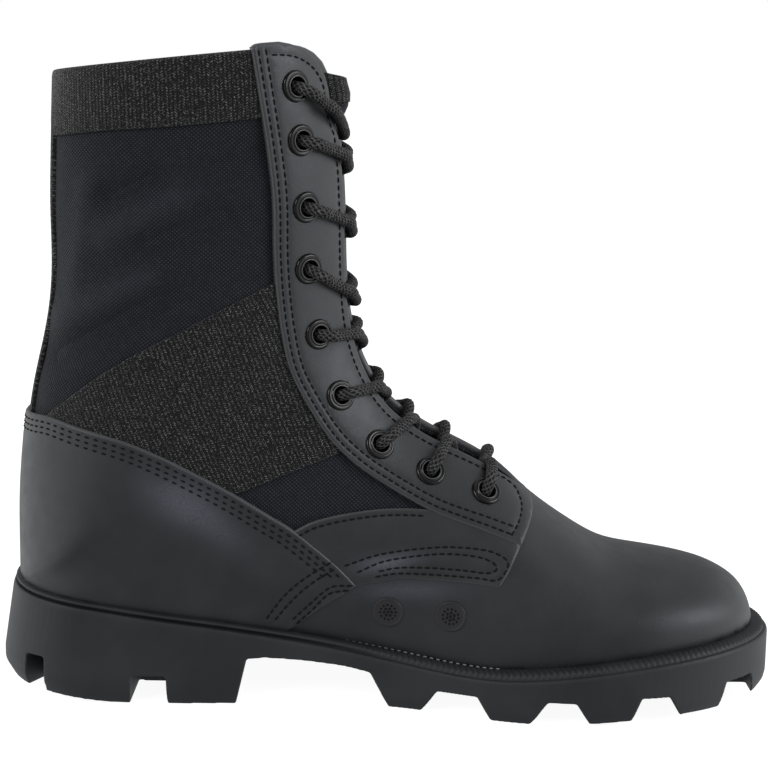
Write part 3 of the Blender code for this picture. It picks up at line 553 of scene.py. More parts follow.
def rear_chart(rows, distances):
    runs = np.interp(rows, skin.rows, skin.runs)
    sign = np.where(distances > 0, 1.0, -1.0)
    before = np.maximum(skin.runs[int(HEEL_ROW / skin.STEP)] - runs, 0)
    return np.column_stack([runs, sign * (skin.left(rows, distances) + 0.15 * before)])


def inside(polygon, points):
    """Which points lie inside a polygon."""
    x, y = points[:, 0], points[:, 1]
    hit = np.zeros(len(points), bool)
    for (x0, y0), (x1, y1) in zip(polygon, np.roll(polygon, -1, 0)):
        if y0 != y1:
            hit ^= ((y0 > y) != (y1 > y)) & (x < (x1 - x0) * (y - y0) / (y1 - y0) + x0)
    return hit


def near(points):
    tree = kdtree.KDTree(len(points))
    for i, p in enumerate(points):
        tree.insert(p, i)
    tree.balance()
    return tree


def new_mesh(name, points, faces):
    """A mesh of points in millimetres and faces by index."""
    mesh = bpy.data.meshes.new(name)
    mesh.from_pydata((np.asarray(points, float) * MM).tolist(), [], [list(map(int, f)) for f in faces])
    return mesh


def new_thing(name, data):
    thing = bpy.data.objects.new(name, data)
    bpy.context.scene.collection.objects.link(thing)
    return thing


def add_piece(name, points, faces, look, slot, replaced=(), uv=None, **marks):
    """A shown mesh on the boot, with named marks for its look, a value a point."""
    mesh = new_mesh(name, points, faces)
    if uv is not None:
        layer = mesh.uv_layers.new(name="weave")
        index = np.zeros(len(mesh.loops), int)
        mesh.loops.foreach_get("vertex_index", index)
        layer.data.foreach_set("uv", (np.asarray(uv, float) * 0.01)[index].ravel())
    for key, values in marks.items():
        mesh.attributes.new(key, "FLOAT", "POINT").data.foreach_set("value", np.asarray(values, float))
    mesh.update()
    mesh.shade_smooth()
    return dress(new_thing(name, mesh), look, slot, replaced)


def dress(thing, look, slot, replaced=()):
    thing.data.materials.clear()
    thing.data.materials.append(look)
    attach(thing, "root")
    if replaced:
        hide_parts(*replaced)
    return thing


# Rings of points along a sheet's edge: distance inside it, drop below the top and tone of the cut
RINGS = [(0.0, 0.75, 1.0), (0.22, 0.3, 0.9), (0.6, 0.07, 0.15), (1.2, 0.0, 0.0)]
DENT_DEEP, DENT_WIDE = 0.32, 0.85
# Least gap along an outline, points to each side of a seam, clear strip beside it, points round a hole
OUTLINE_GAP, SEAM_SIDE, SEAM_CLEAR, HOLE_SIDES = 0.35, 0.9, 1.3, 24
SHEET_FLOOR = 0.05


def panel(name, edges, chart, top, look, slot, replaced, seams=(), step=2.2, relief=None, flat=None, holes=(),
          sheens=()):
    """A sheet laid on the bootie inside an outline of edges, each with its places and whether it shows.

    Shown edges are rounded off. Seams press the sheet in along their path.
    """
    places, shown = [], []
    for path, visible in edges:
        for p in path:
            if not places or np.linalg.norm(skin.at(*p) - skin.at(*places[-1])) > OUTLINE_GAP:
                places.append(p)
                shown.append(visible)
    while np.linalg.norm(skin.at(*places[0]) - skin.at(*places[-1])) < OUTLINE_GAP:
        places.pop()
        shown.pop()
    rows, distances = np.array(places).T
    shown = np.array(shown, float)
    step_row, step_distance = skin.inward(rows, distances, True)
    outline = chart(rows, distances)
    trial = chart(rows + step_row * 0.3, distances + step_distance * 0.3)
    if inside(outline, trial)[shown > 0].mean() < 0.5:
        step_row, step_distance = -step_row, -step_distance
    all_rows, all_distances, drop, edge = [], [], [], []
    for depth, fall, mark in RINGS:
        all_rows.append(rows + step_row * depth * shown)
        all_distances.append(distances + step_distance * depth * shown)
        drop.append(fall * shown)
        edge.append(mark * shown)
    count = len(rows)
    loops = [(i, (i + 1) % count) for i in range(count)]
    total = count * len(RINGS)

    border = near(skin.at(rows, distances))
    seam_points = [skin.at(*s.T) for s in seams]
    grid_rows, grid_distances = [], []
    for s in seams:
        move_row, move_distance = skin.inward(*s.T, False)
        for offset in (-SEAM_SIDE, 0.0, SEAM_SIDE):
            grid_rows.append(s[:, 0] + move_row * offset)
            grid_distances.append(s[:, 1] + move_distance * offset)
    r, low, high = rows.min(), distances.min(), distances.max()
    lattice_r, lattice_d = [], []
    odd = 0
    while r < rows.max():
        if chart is rear_chart:
            run = np.arange(odd * step / 2, 150, step)
            d = np.concatenate([run - skin.length(r, -1), skin.length(r, 1) - run])
        else:
            d = np.arange(low + odd * step / 2, high, step)
        lattice_r.append(np.full(len(d), r))
        lattice_d.append(d)
        close = np.median(distances[np.argsort(np.abs(rows - r))[:8]])
        pace = np.linalg.norm(skin.at(min(r + 0.02, LAST_ROW), close) - skin.at(r, close)) / 0.02
        r += min(step * 0.87 / max(pace, 1.0), 0.3)
        odd = 1 - odd
    lattice_r, lattice_d = np.concatenate(lattice_r), np.concatenate(lattice_d)
    inside_it = inside(outline, chart(lattice_r, lattice_d))
    lattice_r, lattice_d = lattice_r[inside_it], lattice_d[inside_it]
    seam_tree = near(np.vstack(seam_points)) if seams else None
    keep = []
    for p in skin.at(lattice_r, lattice_d):
        apart = border.find(p)[2] > RINGS[-1][0] + 0.7
        keep.append(apart and (seam_tree is None or seam_tree.find(p)[2] > SEAM_CLEAR))
    grid_rows.append(lattice_r[keep])
    grid_distances.append(lattice_d[keep])
    inner_rows, inner_distances = np.concatenate(grid_rows), np.concatenate(grid_distances)
    ok = inside(outline, chart(inner_rows, inner_distances))
    ok &= np.array([border.find(p)[2] > RINGS[-1][0] + 0.25 for p in skin.at(inner_rows, inner_distances)])
    inner_rows, inner_distances = inner_rows[ok], inner_distances[ok]

    hole_rows, hole_distances = [], []
    for row, distance, radius in holes:
        pace = np.linalg.norm(skin.at(row + 0.05, distance) - skin.at(row - 0.05, distance)) / 0.1
        for a in turns(HOLE_SIDES):
            hole_rows.append(row + math.cos(a) * radius / pace)
            hole_distances.append(distance + math.sin(a) * radius)
            here = total + len(hole_rows) - 1
            loops.append((here, here + 1 if len(hole_rows) % HOLE_SIDES else here + 1 - HOLE_SIDES))
    all_rows = np.concatenate(all_rows + [np.array(hole_rows), inner_rows])
    all_distances = np.concatenate(all_distances + [np.array(hole_distances), inner_distances])
    plain = np.zeros(len(all_rows) - total)
    drop, edge = np.concatenate(drop + [plain]), np.concatenate(edge + [plain])
    flat_places = chart(all_rows, all_distances)
    found = delaunay_2d_cdt([Vector(p) for p in flat_places], loops, [], 1, 1e-4)
    use = np.array([ids[0] if ids else -1 for ids in found[3]])
    all_rows, all_distances, drop, edge = all_rows[use], all_distances[use], drop[use], edge[use]
    points = skin.at(all_rows, all_distances)
    height = top - drop
    if seams:
        gap = np.array([seam_tree.find(p)[2] for p in points])
        height = height - DENT_DEEP * np.exp(-(gap / DENT_WIDE) ** 2)
    if relief is not None:
        height = height + relief(points) * np.clip((top - drop) / top, 0, 1)
    faces = [tuple(f) for f in found[2]]
    if holes:
        middle = points[np.array(faces)].mean(1)
        gone = np.zeros(len(faces), bool)
        for row, distance, radius in holes:
            gone |= np.linalg.norm(middle - skin.at(row, distance), axis=1) < radius * 0.97
        faces = [f for f, g in zip(faces, gone) if not g]
    shell_points, shell_faces = closed_shell(all_rows, all_distances, height, faces)
    uv = None if flat is None else np.vstack([flat(points)] * 2)
    edge = np.concatenate([edge, np.ones(len(edge))])
    # Painted sheen: the spots where a highlight is painted into the colour
    sheen = np.tile(soft_spots(points, sheens), 2)
    return add_piece(name, shell_points, shell_faces, look, slot, replaced, uv, edge=edge, sheen=sheen)


def closed_shell(rows, distances, height, faces):
    """A top sheet with its underside and edge walls."""
    n = len(rows)
    points = np.vstack([skin.at(rows, distances, height), skin.at(rows, distances, np.full(n, SHEET_FLOOR))])
    tri = np.array(faces)
    a, b, c = (points[tri[:, k]] for k in range(3))
    facing = (np.cross(b - a, c - a) * skin.normal(rows, distances)[tri[:, 0]]).sum(1)
    tri[facing < 0] = tri[facing < 0][:, ::-1]
    edges = {}
    for f in tri.tolist():
        for i in range(3):
            edges[(f[i], f[(i + 1) % 3])] = True
    walls = [(b, a, a + n, b + n) for a, b in edges if (b, a) not in edges]
    return points, tri.tolist() + (tri[:, ::-1] + n).tolist() + walls


def even_path(path, step):
    """The same path read at an even step over the surface, without its ends."""
    runs = runs_along(skin.at(*path.T))
    return resampled(np.arange(0.5 * step, runs[-1], step), runs, path)


STITCHES = []


def stitch(path, top, pitch=PITCH, dash=DASH, relief=None):
    """A row of thread lying in its dent: each stitch dips into the sheet at both ends."""
    points = 6
    places = even_path(path, pitch * dash / (points - 1))
    every = max(points, int(round((points - 1) / dash)))
    dip = np.array((-0.3, 0.1, 0.2, 0.2, 0.1, -0.3)) * THREAD / 0.62
    for first in range(0, len(places) - points, every):
        part = places[first:first + points]
        swell = 0.0 if relief is None else relief(skin.at(*part.T))
        STITCHES.append((skin.at(*part.T, top - DENT_DEEP + dip + swell), skin.normal(*part.T)))


def tube(line, first, second, radius, sides):
    """Points and faces of a tube about a line, both ends closed; first and second are the axes across it."""
    a = turns(sides)[:, None]
    points = line[:, None] + radius * (first[:, None] * np.cos(a) + second[:, None] * np.sin(a))
    end = (len(line) - 1) * sides
    faces = ring_faces(len(line), sides) + [range(sides)[::-1], range(end, end + sides)]
    return points.reshape(-1, 3), faces


def thread_tube(line, normals, radius):
    ahead = unit(np.gradient(line, axis=0))
    other = unit(np.cross(ahead, normals))
    return tube(line, other, np.cross(other, ahead), radius, THREAD_SIDES)


# Materials


def node(tree, kind, settings=None, **inputs):
    made = tree.nodes.new("ShaderNode" + kind)
    for key, value in (settings or {}).items():
        setattr(made, key, value)
    for key, value in inputs.items():
        socket = made.inputs[int(key[1:])] if key[0] == "_" else made.inputs[key]
        if isinstance(value, bpy.types.NodeSocket):
            tree.links.new(value, socket)
        else:
            socket.default_value = value
    return made.outputs


def math_node(tree, operation, a, b=0.0):
    return node(tree, "Math", {"operation": operation}, _0=a, _1=b)[0]


def add(tree, a, b):
    return math_node(tree, "ADD", a, b)


def times(tree, a, b):
    return math_node(tree, "MULTIPLY", a, b)


def mark(tree, name):
    """A value that the mesh has at each point."""
    return node(tree, "Attribute", {"attribute_name": name})["Fac"]


def ramp(tree, value, low, high, to_low=0.0, to_high=1.0):
    return node(tree, "MapRange", {}, **{"Value": value, "From Min": low, "From Max": high,
                                         "To Min": to_low, "To Max": to_high})[0]


def mixed(tree, share, first, second):
    """Two colours mixed by a share; each is three numbers or a socket."""
    made = tree.nodes.new("ShaderNodeMix")
    made.data_type = "RGBA"
    tree.links.new(share, made.inputs[0])
    for socket, colour in ((made.inputs[6], first), (made.inputs[7], second)):
        if isinstance(colour, bpy.types.NodeSocket):
            tree.links.new(colour, socket)
        else:
            socket.default_value = (*colour, 1)
    return made.outputs[2]


def new_look(name, specular, **fixed):
    made = bpy.data.materials.new(name)
    made.use_nodes = True
    tree = made.node_tree
    shader = tree.nodes["Principled BSDF"]
    shader.inputs["Specular IOR Level"].default_value = specular
    for key, value in fixed.items():
        shader.inputs[key.replace("_", " ")].default_value = value
    place = node(tree, "TexCoord")["Object"]
    return made, tree, shader, place


def noise(tree, place, scale, detail):
    return node(tree, "TexNoise", {}, Vector=place, Scale=scale, Detail=detail, Roughness=0.5)["Fac"]


def bump(tree, shader, height, depth):
    """Relief of a given depth in millimetres for a height of one."""
    out = node(tree, "Bump", {}, Height=height, Strength=1.0, Distance=depth * MM)[0]
    tree.links.new(out, shader.inputs["Normal"])


def leather_look(name, grain=0.045, rough=(0.40, 0.5), colour=(0.012, 0.0122, 0.0132)):
    """Smooth black leather: fine pores, a satin finish, a paler cut edge and a painted bluish highlight where
    marked.
    """
    made, tree, shader, place = new_look(name, 0.45, Specular_Tint=(0.88, 0.93, 1.0, 1.0))
    cells = node(tree, "TexVoronoi", {"feature": "F1"}, Vector=place, Scale=1500.0)["Distance"]
    pores = noise(tree, place, 2600.0, 2.0)
    soft = noise(tree, place, 160.0, 3.0)
    height = add(tree, times(tree, cells, 0.7), times(tree, pores, 0.5))
    height = add(tree, height, times(tree, soft, 0.8))
    bump(tree, shader, height, grain)
    tree.links.new(ramp(tree, soft, 0.3, 0.7, *rough), shader.inputs["Roughness"])
    cloud = ramp(tree, noise(tree, place, 60.0, 4.0), 0.35, 0.75)
    body = mixed(tree, cloud, colour, tuple(c * 1.5 for c in colour))
    edge = mark(tree, "edge")
    # Painted sheen: a bluish highlight painted into the colour at the marked spots, broken up by the pores
    painted_light = mark(tree, "sheen")
    painted_light = times(tree, painted_light, ramp(tree, pores, 0.3, 0.7, 0.5, 1.4))
    body = mixed(tree, painted_light, body, (0.1, 0.1, 0.13))
    tree.links.new(mixed(tree, edge, body, (0.06, 0.06, 0.063)), shader.inputs["Base Color"])
    return made


def rubber_look():
    """Matte moulded rubber with a faint mould texture and dusty lighter clouds."""
    made, tree, shader, place = new_look("rubber", 0.36, Specular_Tint=(0.86, 0.92, 1.0, 1.0))
    fine = noise(tree, place, 1800.0, 3.0)
    clouds = noise(tree, place, 45.0, 4.0)
    bump(tree, shader, add(tree, fine, times(tree, clouds, 0.6)), 0.05)
    tree.links.new(ramp(tree, clouds, 0.3, 0.7, 0.5, 0.62), shader.inputs["Roughness"])
    body = mixed(tree, ramp(tree, clouds, 0.35, 0.7), (0.011, 0.0115, 0.0125), (0.017, 0.0175, 0.019))
    tree.links.new(body, shader.inputs["Base Color"])
    return made


def woven(tree):
    """The flat place on a cloth in millimetres, across and along."""
    split = node(tree, "SeparateXYZ", {}, Vector=node(tree, "UVMap", {"uv_map": "weave"})[0])
    return [times(tree, split[k], 100.0) for k in (0, 1)]


def wave(tree, value, pitch):
    return math_node(tree, "SINE", times(tree, value, 2 * math.pi / pitch))


def canvas_look():
    """Fine navy-black duck: plain weave with a pale fleck where each thread comes over, painted light on the
    fold ridges and painted shade in the troughs.
    """
    dark, pale = (0.0075, 0.0082, 0.0112), (0.036, 0.039, 0.047)
    made, tree, shader, place = new_look("canvas", 0.1, Sheen_Weight=0.08, Sheen_Roughness=0.5,
                                         Roughness=0.92)
    across, along = woven(tree)
    slub = noise(tree, place, 420.0, 3.0)
    checks = times(tree, wave(tree, across, 1.6), wave(tree, along, 1.4))
    height = add(tree, checks, times(tree, slub, 0.9))
    bump(tree, shader, height, 0.14)
    # Painted light and shade: paler on the fold ridges and darker in the troughs, by the marked amount
    painted_light = mark(tree, "sheen")
    share = add(tree, ramp(tree, height, 0.55, 1.45), times(tree, painted_light, 0.24))
    tree.links.new(mixed(tree, share, dark, pale), shader.inputs["Base Color"])
    return made


def webbing_look():
    """Coarse webbing: columns of slanted yarn, each leaning against the next, and a painted highlight where
    marked.
    """
    dark, lighter = (0.003, 0.003, 0.0034), (0.135, 0.136, 0.138)
    made, tree, shader, place = new_look("webbing", 0.15, Sheen_Weight=0.1, Sheen_Roughness=0.5,
                                         Roughness=0.85)
    across, along = woven(tree)
    column = math_node(tree, "DIVIDE", across, 1.5)
    inside_it = math_node(tree, "FRACT", column)
    lean = math_node(tree, "PINGPONG", column, 1.0)
    step = add(tree, math_node(tree, "DIVIDE", along, 0.95), times(tree, lean, 1.1))
    dome = math_node(tree, "SINE", times(tree, inside_it, math.pi))
    yarn = math_node(tree, "ABSOLUTE", math_node(tree, "SINE", times(tree, step, math.pi)))
    fuzz = noise(tree, place, 1500.0, 2.0)
    height = times(tree, add(tree, times(tree, dome, 0.6), 0.4), yarn)
    bump(tree, shader, add(tree, height, times(tree, fuzz, 0.3)), 0.45)
    pale = times(tree, height, ramp(tree, fuzz, 0.3, 0.68))
    # Painted sheen: the marked spots are painted paler as a highlight
    painted_light = mark(tree, "sheen")
    pale = add(tree, pale, times(tree, painted_light, 0.3))
    tree.links.new(mixed(tree, ramp(tree, pale, 0.32, 0.9), dark, lighter), shader.inputs["Base Color"])
    return made


def plain_look(name, colour, rough, specular, grain, scale, **fixed):
    made, tree, shader, place = new_look(name, specular, **fixed)
    fine = noise(tree, place, scale, 3.0)
    bump(tree, shader, fine, grain)
    tree.links.new(ramp(tree, fine, 0.3, 0.7, rough - 0.05, rough + 0.05), shader.inputs["Roughness"])
    tree.links.new(mixed(tree, ramp(tree, fine, 0.3, 0.7), colour, tuple(c * 1.5 for c in colour)),
                   shader.inputs["Base Color"])
    return made


def braid_look():
    """Dull cord: yarn of uneven tone on the crests of the braid, and painted shade darkening the hollows
    between.
    """
    made, tree, shader, place = new_look("braid", 0.2, Roughness=0.8)
    fine = noise(tree, place, 2200.0, 3.0)
    bump(tree, shader, fine, 0.08)
    # Painted shade: the hollows between the strands are painted near black
    hollow = mark(tree, "edge")
    yarn = mixed(tree, ramp(tree, fine, 0.36, 0.62), (0.01, 0.01, 0.0105), (0.105, 0.105, 0.103))
    body = mixed(tree, ramp(tree, hollow, 0.08, 0.5), yarn, (0.0035, 0.0035, 0.004))
    tree.links.new(body, shader.inputs["Base Color"])
    return made


def paint_look(name, specular, rough, colour, marked):
    """Black paint with a second colour where it is marked: a painted highlight on the eyelets' lips, painted
    shade in the vents' pits.
    """
    made, tree, shader, _ = new_look(name, specular, Roughness=rough)
    tree.links.new(mixed(tree, mark(tree, "edge"), colour, marked), shader.inputs["Base Color"])
    return made


leather = leather_look("leather")
vamp_leather = leather_look("vamp_leather", 0.035, (0.42, 0.5), (0.0105, 0.0107, 0.0118))
rubber = rubber_look()
canvas = canvas_look()
webbing = webbing_look()
braid = braid_look()
thread = plain_look("thread", (0.002, 0.002, 0.0022), 0.7, 0.15, 0.05, 3000.0)
pale_thread = plain_look("pale_thread", (0.12, 0.12, 0.118), 0.75, 0.15, 0.05, 3000.0)
# The marked colour is a painted highlight on the eyelets' inner lips
enamel = paint_look("enamel", 0.28, 0.08, (0.002, 0.002, 0.0022), (0.06, 0.06, 0.062))
# The marked colour is painted shade in the vents' pits
vent_paint = paint_look("vent_paint", 0.2, 0.42, (0.022, 0.022, 0.024), (0.0008, 0.0008, 0.0008))
felt = plain_look("felt", (0.035, 0.035, 0.036), 0.95, 0.1, 0.3, 1200.0)


# Sole


def mesh_thing(name, points, faces):
    mesh = new_mesh(name, points, faces)
    bm = bmesh.new()
    bm.from_mesh(mesh)
    bmesh.ops.remove_doubles(bm, verts=bm.verts[:], dist=0.02 * MM)
    bmesh.ops.recalc_face_normals(bm, faces=bm.faces[:])
    bm.to_mesh(mesh)
    bm.free()
    return new_thing(name, mesh)


def ladder(rings):
    """Faces of a stack of closed rings, with both ends filled across."""
    n = len(rings[0])
    points = [p for r in rings for p in r]
    faces = ring_faces(len(rings), n)
    for start in (0, (len(rings) - 1) * n):
        for i in range(n // 2):
            corner = dict.fromkeys((i, i + 1, (n - i - 1) % n, (n - i) % n))
            if len(corner) > 2:
                faces.append([start + v for v in corner])
    return points, faces


def prism(name, outline, y0, y1):
    n = len(outline)
    points = [(x, y, z) for y in (y0, y1) for x, z in outline]
    faces = [range(n), range(2 * n - 1, n - 1, -1)] + ring_faces(2, n)
    return mesh_thing(name, points, faces)


WALL_RINGS = np.array([
    # heel, side_rear, side_front, toe, share
    (5.0, 3.0, 0.9, 0.8, 1.00),
    (4.4, 2.5, 0.3, 0.2, 0.95),
    (0.4, 0.2, 0.0, 0.0, 0.24),
    (0.4, 0.3, 0.3, 0.5, 0.13),
    (3.4, 1.6, 1.3, 2.4, 0.00),
])


def heel_cutter(side):
    x, y, bearing, start, width, ceiling = HEEL_NOTCH
    out = [(start, -width * 0.55, -8), (start, width * 0.55, -8), (60, width * 0.7, -8),
           (60, -width * 0.7, -8), (start, -width * 0.5, ceiling - 2), (start, width * 0.5, ceiling - 2),
           (60, width * 0.6, ceiling + 5), (60, -width * 0.6, ceiling + 5)]
    c, s = cos_sin(180 - side * bearing)
    points = [(x + a * c - b * s, side * y + a * s + b * c, z) for a, b, z in out]
    faces = [(0, 1, 2, 3), (7, 6, 5, 4), (0, 4, 5, 1), (1, 5, 6, 2), (2, 6, 7, 3), (3, 7, 4, 0)]
    return mesh_thing("cutter", points, faces)


def build_sole():
    rings = []
    for heel, rear, front, toe, share in WALL_RINGS:
        def height(x, share=share):
            return under_at(x) + (rim_at(x) - under_at(x)) * share
        rings.append(ring((heel, rear, front, toe), height, RIM_STEPS))
    sole = mesh_thing("sole_rubber", *ladder(rings))
    cutters = [prism("cutter", ARCH, -90, 90)]
    for k, (rear, front, top_rear, top_front, ceiling) in enumerate(CHANNELS):
        drop = 6.0 / ceiling
        outline = [(rear - (top_rear - rear) * drop, -6), (front + (front - top_front) * drop, -6),
                   (top_front, ceiling), (top_rear, ceiling)]
        shift = -2.0 if k > 1 else 0.0
        for side in SIDES.values():
            inner, outer = sorted((side * CHANNEL_IN, side * 80))
            cutters.append(prism("cutter", outline, inner + shift, outer + shift))
    cutters += [heel_cutter(side) for side in SIDES.values()]
    for cutter in cutters:
        cut = sole.modifiers.new("Cut", "BOOLEAN")
        cut.operation, cut.solver, cut.object = "DIFFERENCE", "EXACT", cutter
    remesh = sole.modifiers.new("Remesh", "REMESH")
    remesh.mode, remesh.voxel_size, remesh.use_smooth_shade = "VOXEL", SOLE_VOXEL * MM, True
    soften = sole.modifiers.new("Soften", "SMOOTH")
    soften.factor, soften.iterations = 0.5, SOLE_SMOOTH
    thin = sole.modifiers.new("Thin", "DECIMATE")
    thin.ratio = SOLE_KEEP
    bpy.context.view_layer.update()
    made = bpy.data.meshes.new_from_object(sole.evaluated_get(bpy.context.evaluated_depsgraph_get()))
    sole.modifiers.clear()
    sole.data = made
    for cutter in cutters:
        bpy.data.objects.remove(cutter)
    made.shade_smooth()
    dress(sole, rubber, "rubber", ["outsole"])


def build_welt():
    """The strip on the rim under the leather: a groove and a lip at the heel, a rope edge at the front."""
    steps = 1200
    rope_pitch, rope_deep = 2.3, 0.42
    profile = [
        # inset and lift at the heel, inset and lift at the front, share of the rope
        (1.3, -0.4, 0.0, -0.4, 0.0), (1.3, 0.9, 0.15, 0.9, 0.5), (0.2, 1.2, 0.5, 1.5, 1.0),
        (0.1, 1.9, 2.0, 2.3, 1.0), (0.5, 2.3, 3.4, 2.7, 0.4), (None, 2.3, None, 2.7, 0.0),
    ]
    points = []
    for k, (heel_in, heel_up, front_in, front_up, rope) in enumerate(profile):
        if heel_in is None:
            rear = front = np.array(ring(FEATHER, rim_at, steps))
        else:
            rear, front = (np.array(ring(drawn_in(WELT_OUT, by), rim_at, steps))
                           for by in (heel_in, front_in))
        share = soft_step(np.clip((front[:, 0] + 45) / 60, 0, 1))[:, None]
        line = rear * (1 - share) + front * share
        line[:, 2] += (heel_up + (front_up - heel_up) * share)[:, 0]
        twist = np.cos(2 * math.pi * runs_along(front[:, :2]) / rope_pitch + 0.9 * k)
        line[:, 2] += rope * rope_deep * twist * share[:, 0]
        points.append(line)
    faces = ring_faces(len(profile), len(points[0]))
    add_piece("welt_rubber", np.vstack(points), faces, rubber, "rubber", ["welt"])


def build_welt_stitches():
    """Short pale stitches along the welt at the waist and ball."""
    line = np.array(ring(drawn_in(FEATHER, -3.2), lambda x: rim_at(x) + 2.95, 500))
    parts = []
    for side in SIDES.values():
        part = line[(np.sign(line[:, 1] - plan_at(20)[0]) == side) & (line[:, 0] > -16) & (line[:, 0] < 46)]
        part = part[np.argsort(part[:, 0])]
        for x in np.arange(-15, 44, 2.5):
            dash = resampled(np.linspace(x, x + 1.1, 5), part[:, 0], part)
            dash[:, 2] += (0.0, 0.16, 0.22, 0.16, 0.0)
            parts.append(thread_tube(dash, np.tile((0.0, 0.0, 1.0), (5, 1)), 0.3))
    add_piece("welt_stitches", *gathered(parts), pale_thread, "cord")


def build_insole():
    rings = []
    for depth, h in ((0, 0.2), (0, 2.4), (0.5, 3.0), (6, 3.3)):
        rings.append(ring(drawn_in(INSOLE_EDGE, depth), lambda x, h=h: rim_at(x) + 0.3 + h, RIM_STEPS))
    add_piece("insole_felt", *ladder(rings[::-1]), felt, "felt", ["insole"])


# Upper


def soft_relief(points, creases):
    """Soft troughs and ridges, each along a line in the side view."""
    out = np.zeros(len(points))
    for (x0, z0), (x1, z1), depth, wide in creases:
        span = np.array((x1 - x0, z1 - z0))
        size = np.linalg.norm(span)
        rel = points[:, [0, 2]] - (x0, z0)
        along = rel @ span / size ** 2
        away = (rel[:, 0] * span[1] - rel[:, 1] * span[0]) / size
        beyond = np.maximum(np.abs(along - 0.5) - 0.38, 0)
        out += depth * np.exp(-(away / wide) ** 2) * np.exp(-beyond ** 2 / 0.03)
    return out


def soft_spots(points, spots):
    """Soft oval spots in the side view, each with its half sizes along a bearing and across it."""
    out = np.zeros(len(points))
    for x, z, bearing, along, across, strength in spots:
        c, s = cos_sin(bearing)
        dx, dz = points[:, 0] - x, points[:, 2] - z
        out += strength * np.exp(-((dx * c + dz * s) / along) ** 2 - ((dz * c - dx * s) / across) ** 2)
    return out


def build_bootie():
    rows = np.concatenate([np.arange(0, 19, 0.25), np.arange(19, CANVAS_TOP, 1 / 16), [CANVAS_TOP]])
    columns = 96
    points, faces, uv, painted_light = [], [], [], []
    holes = near([skin.at(r, s * d) for r, d in EYELETS for s in SIDES.values()])
    start = 0
    for side in SIDES.values():
        grid_r, grid_d = [], []
        for row in rows:
            first = throat_at(row) if row >= THROAT_ROW else 0.0
            d = np.linspace(first, skin.length(row, side), columns + 1)
            grid_r.append(np.full(columns + 1, row))
            grid_d.append(side * np.maximum(d, 1e-4))
        r, d = np.concatenate(grid_r), np.concatenate(grid_d)
        base = skin.at(r, d)
        # The folds lie on the shaft alone, below the collar
        fade = np.clip((r - 17) / 3, 0, 1) * np.clip((27.2 - r) / 1.0, 0, 1)
        relief = soft_relief(base, WRINKLES) * fade
        outer = skin.at(r, d, relief)
        inner = skin.at(r, d, np.full(len(r), -WALL))
        n, c = len(r), columns + 1
        for i in range(len(rows) - 1):
            for j in range(columns):
                a = i * c + j
                if holes.find(base[a])[2] < CANVAS_HOLE:
                    continue
                quad = (a, a + 1, a + c + 1, a + c) if side > 0 else (a + c, a + c + 1, a + 1, a)
                faces.append(tuple(start + v for v in quad))
                faces.append(tuple(start + n + v for v in quad[::-1]))
        starts = range(0, n, c)
        rims = [starts, [a + columns for a, row in zip(starts, rows) if row <= HEEL_ROW], range(n - c, n)]
        for rim in rims:
            faces += [(start + a, start + b, start + n + b, start + n + a) for a, b in zip(rim[:-1], rim[1:])]
        points += [outer, inner]
        # Painted light on the fold ridges and painted shade in the troughs, on the outside only
        painted_light += [0.5 * relief, 0.0 * relief]
        flat = level_map(base)
        uv += [flat, flat]
        start += 2 * n
    add_piece("bootie_canvas", np.vstack(points), faces, canvas, "canvas", ["upper"], np.vstack(uv),
              sheen=np.concatenate(painted_light))


def build_vamp():
    first, last = (skin.find(*VAMP_HIDDEN[0], side)[0] for side in (-1, 1))
    inner, outer = (side_edge(VAMP_HIDDEN, side, 3.0) for side in (-1, 1))
    throat = np.array([(r, throat_at(r)) for r in np.linspace(10.3, THROAT_ROW, 12)])
    mouth = np.vstack([throat * (1, -1), throat[::-1]])
    edges = [(base_edge(0.05, first, -1, 160), False), (inner, False), (mouth, True), (outer[::-1], False),
             (base_edge(last, 0.05, 1, 160), False)]
    panel("vamp_skin", edges, front_chart, VAMP_TOP, vamp_leather, "leather", ["vamp"], step=2.4,
          sheens=VAMP_SHEENS)


def counter_top(side, lower=0.0):
    """The counter's top edge from the back seam to its front corner, or a line this far below it."""
    curve = beside([(float(back_spline(COUNTER_BACK)[0]), COUNTER_BACK)] + COUNTER_TOP, -lower)
    curve[0, 0] = float(back_spline(curve[0, 1])[0]) + 0.01
    first = np.linspace(0, 1, 24)[:-1, None] ** 2
    curve = np.vstack([curve[0] + (curve[6] - curve[0]) * first, curve[6:]])
    curve[:, 0] = np.maximum(curve[:, 0], [float(back_spline(z)[0]) + 0.01 for z in curve[:, 1]])
    return found_on(curve, side)


def build_counter():
    edges, seams = [], []
    for side in (-1, 1):
        top = counter_top(side)
        front = side_edge(COUNTER_FRONT, side)
        edges.append((top, front, base_edge(front[-1, 0], HEEL_ROW, side, 110)))
        seams += [(counter_top(side, lower)[:-2 - int(lower)], TOP_PITCH, TOP_DASH) for lower in COUNTER_ROWS]
        seams += [(side_edge(path, side), PITCH, DASH) for path in COUNTER_ARCS]
    (t0, f0, b0), (t1, f1, b1) = edges
    outline = [(t0[::-1], True), (t1, True), (f1, True), (b1, False), (b0[::-1], False), (f0[::-1], True)]
    panel("counter_skin", outline, rear_chart, COUNTER_H, leather, "leather", ["counter"],
          [s[0] for s in seams], 2.3, sheens=COUNTER_SHEENS)
    for path, pitch, dash in seams:
        stitch(path, COUNTER_H, pitch, dash)


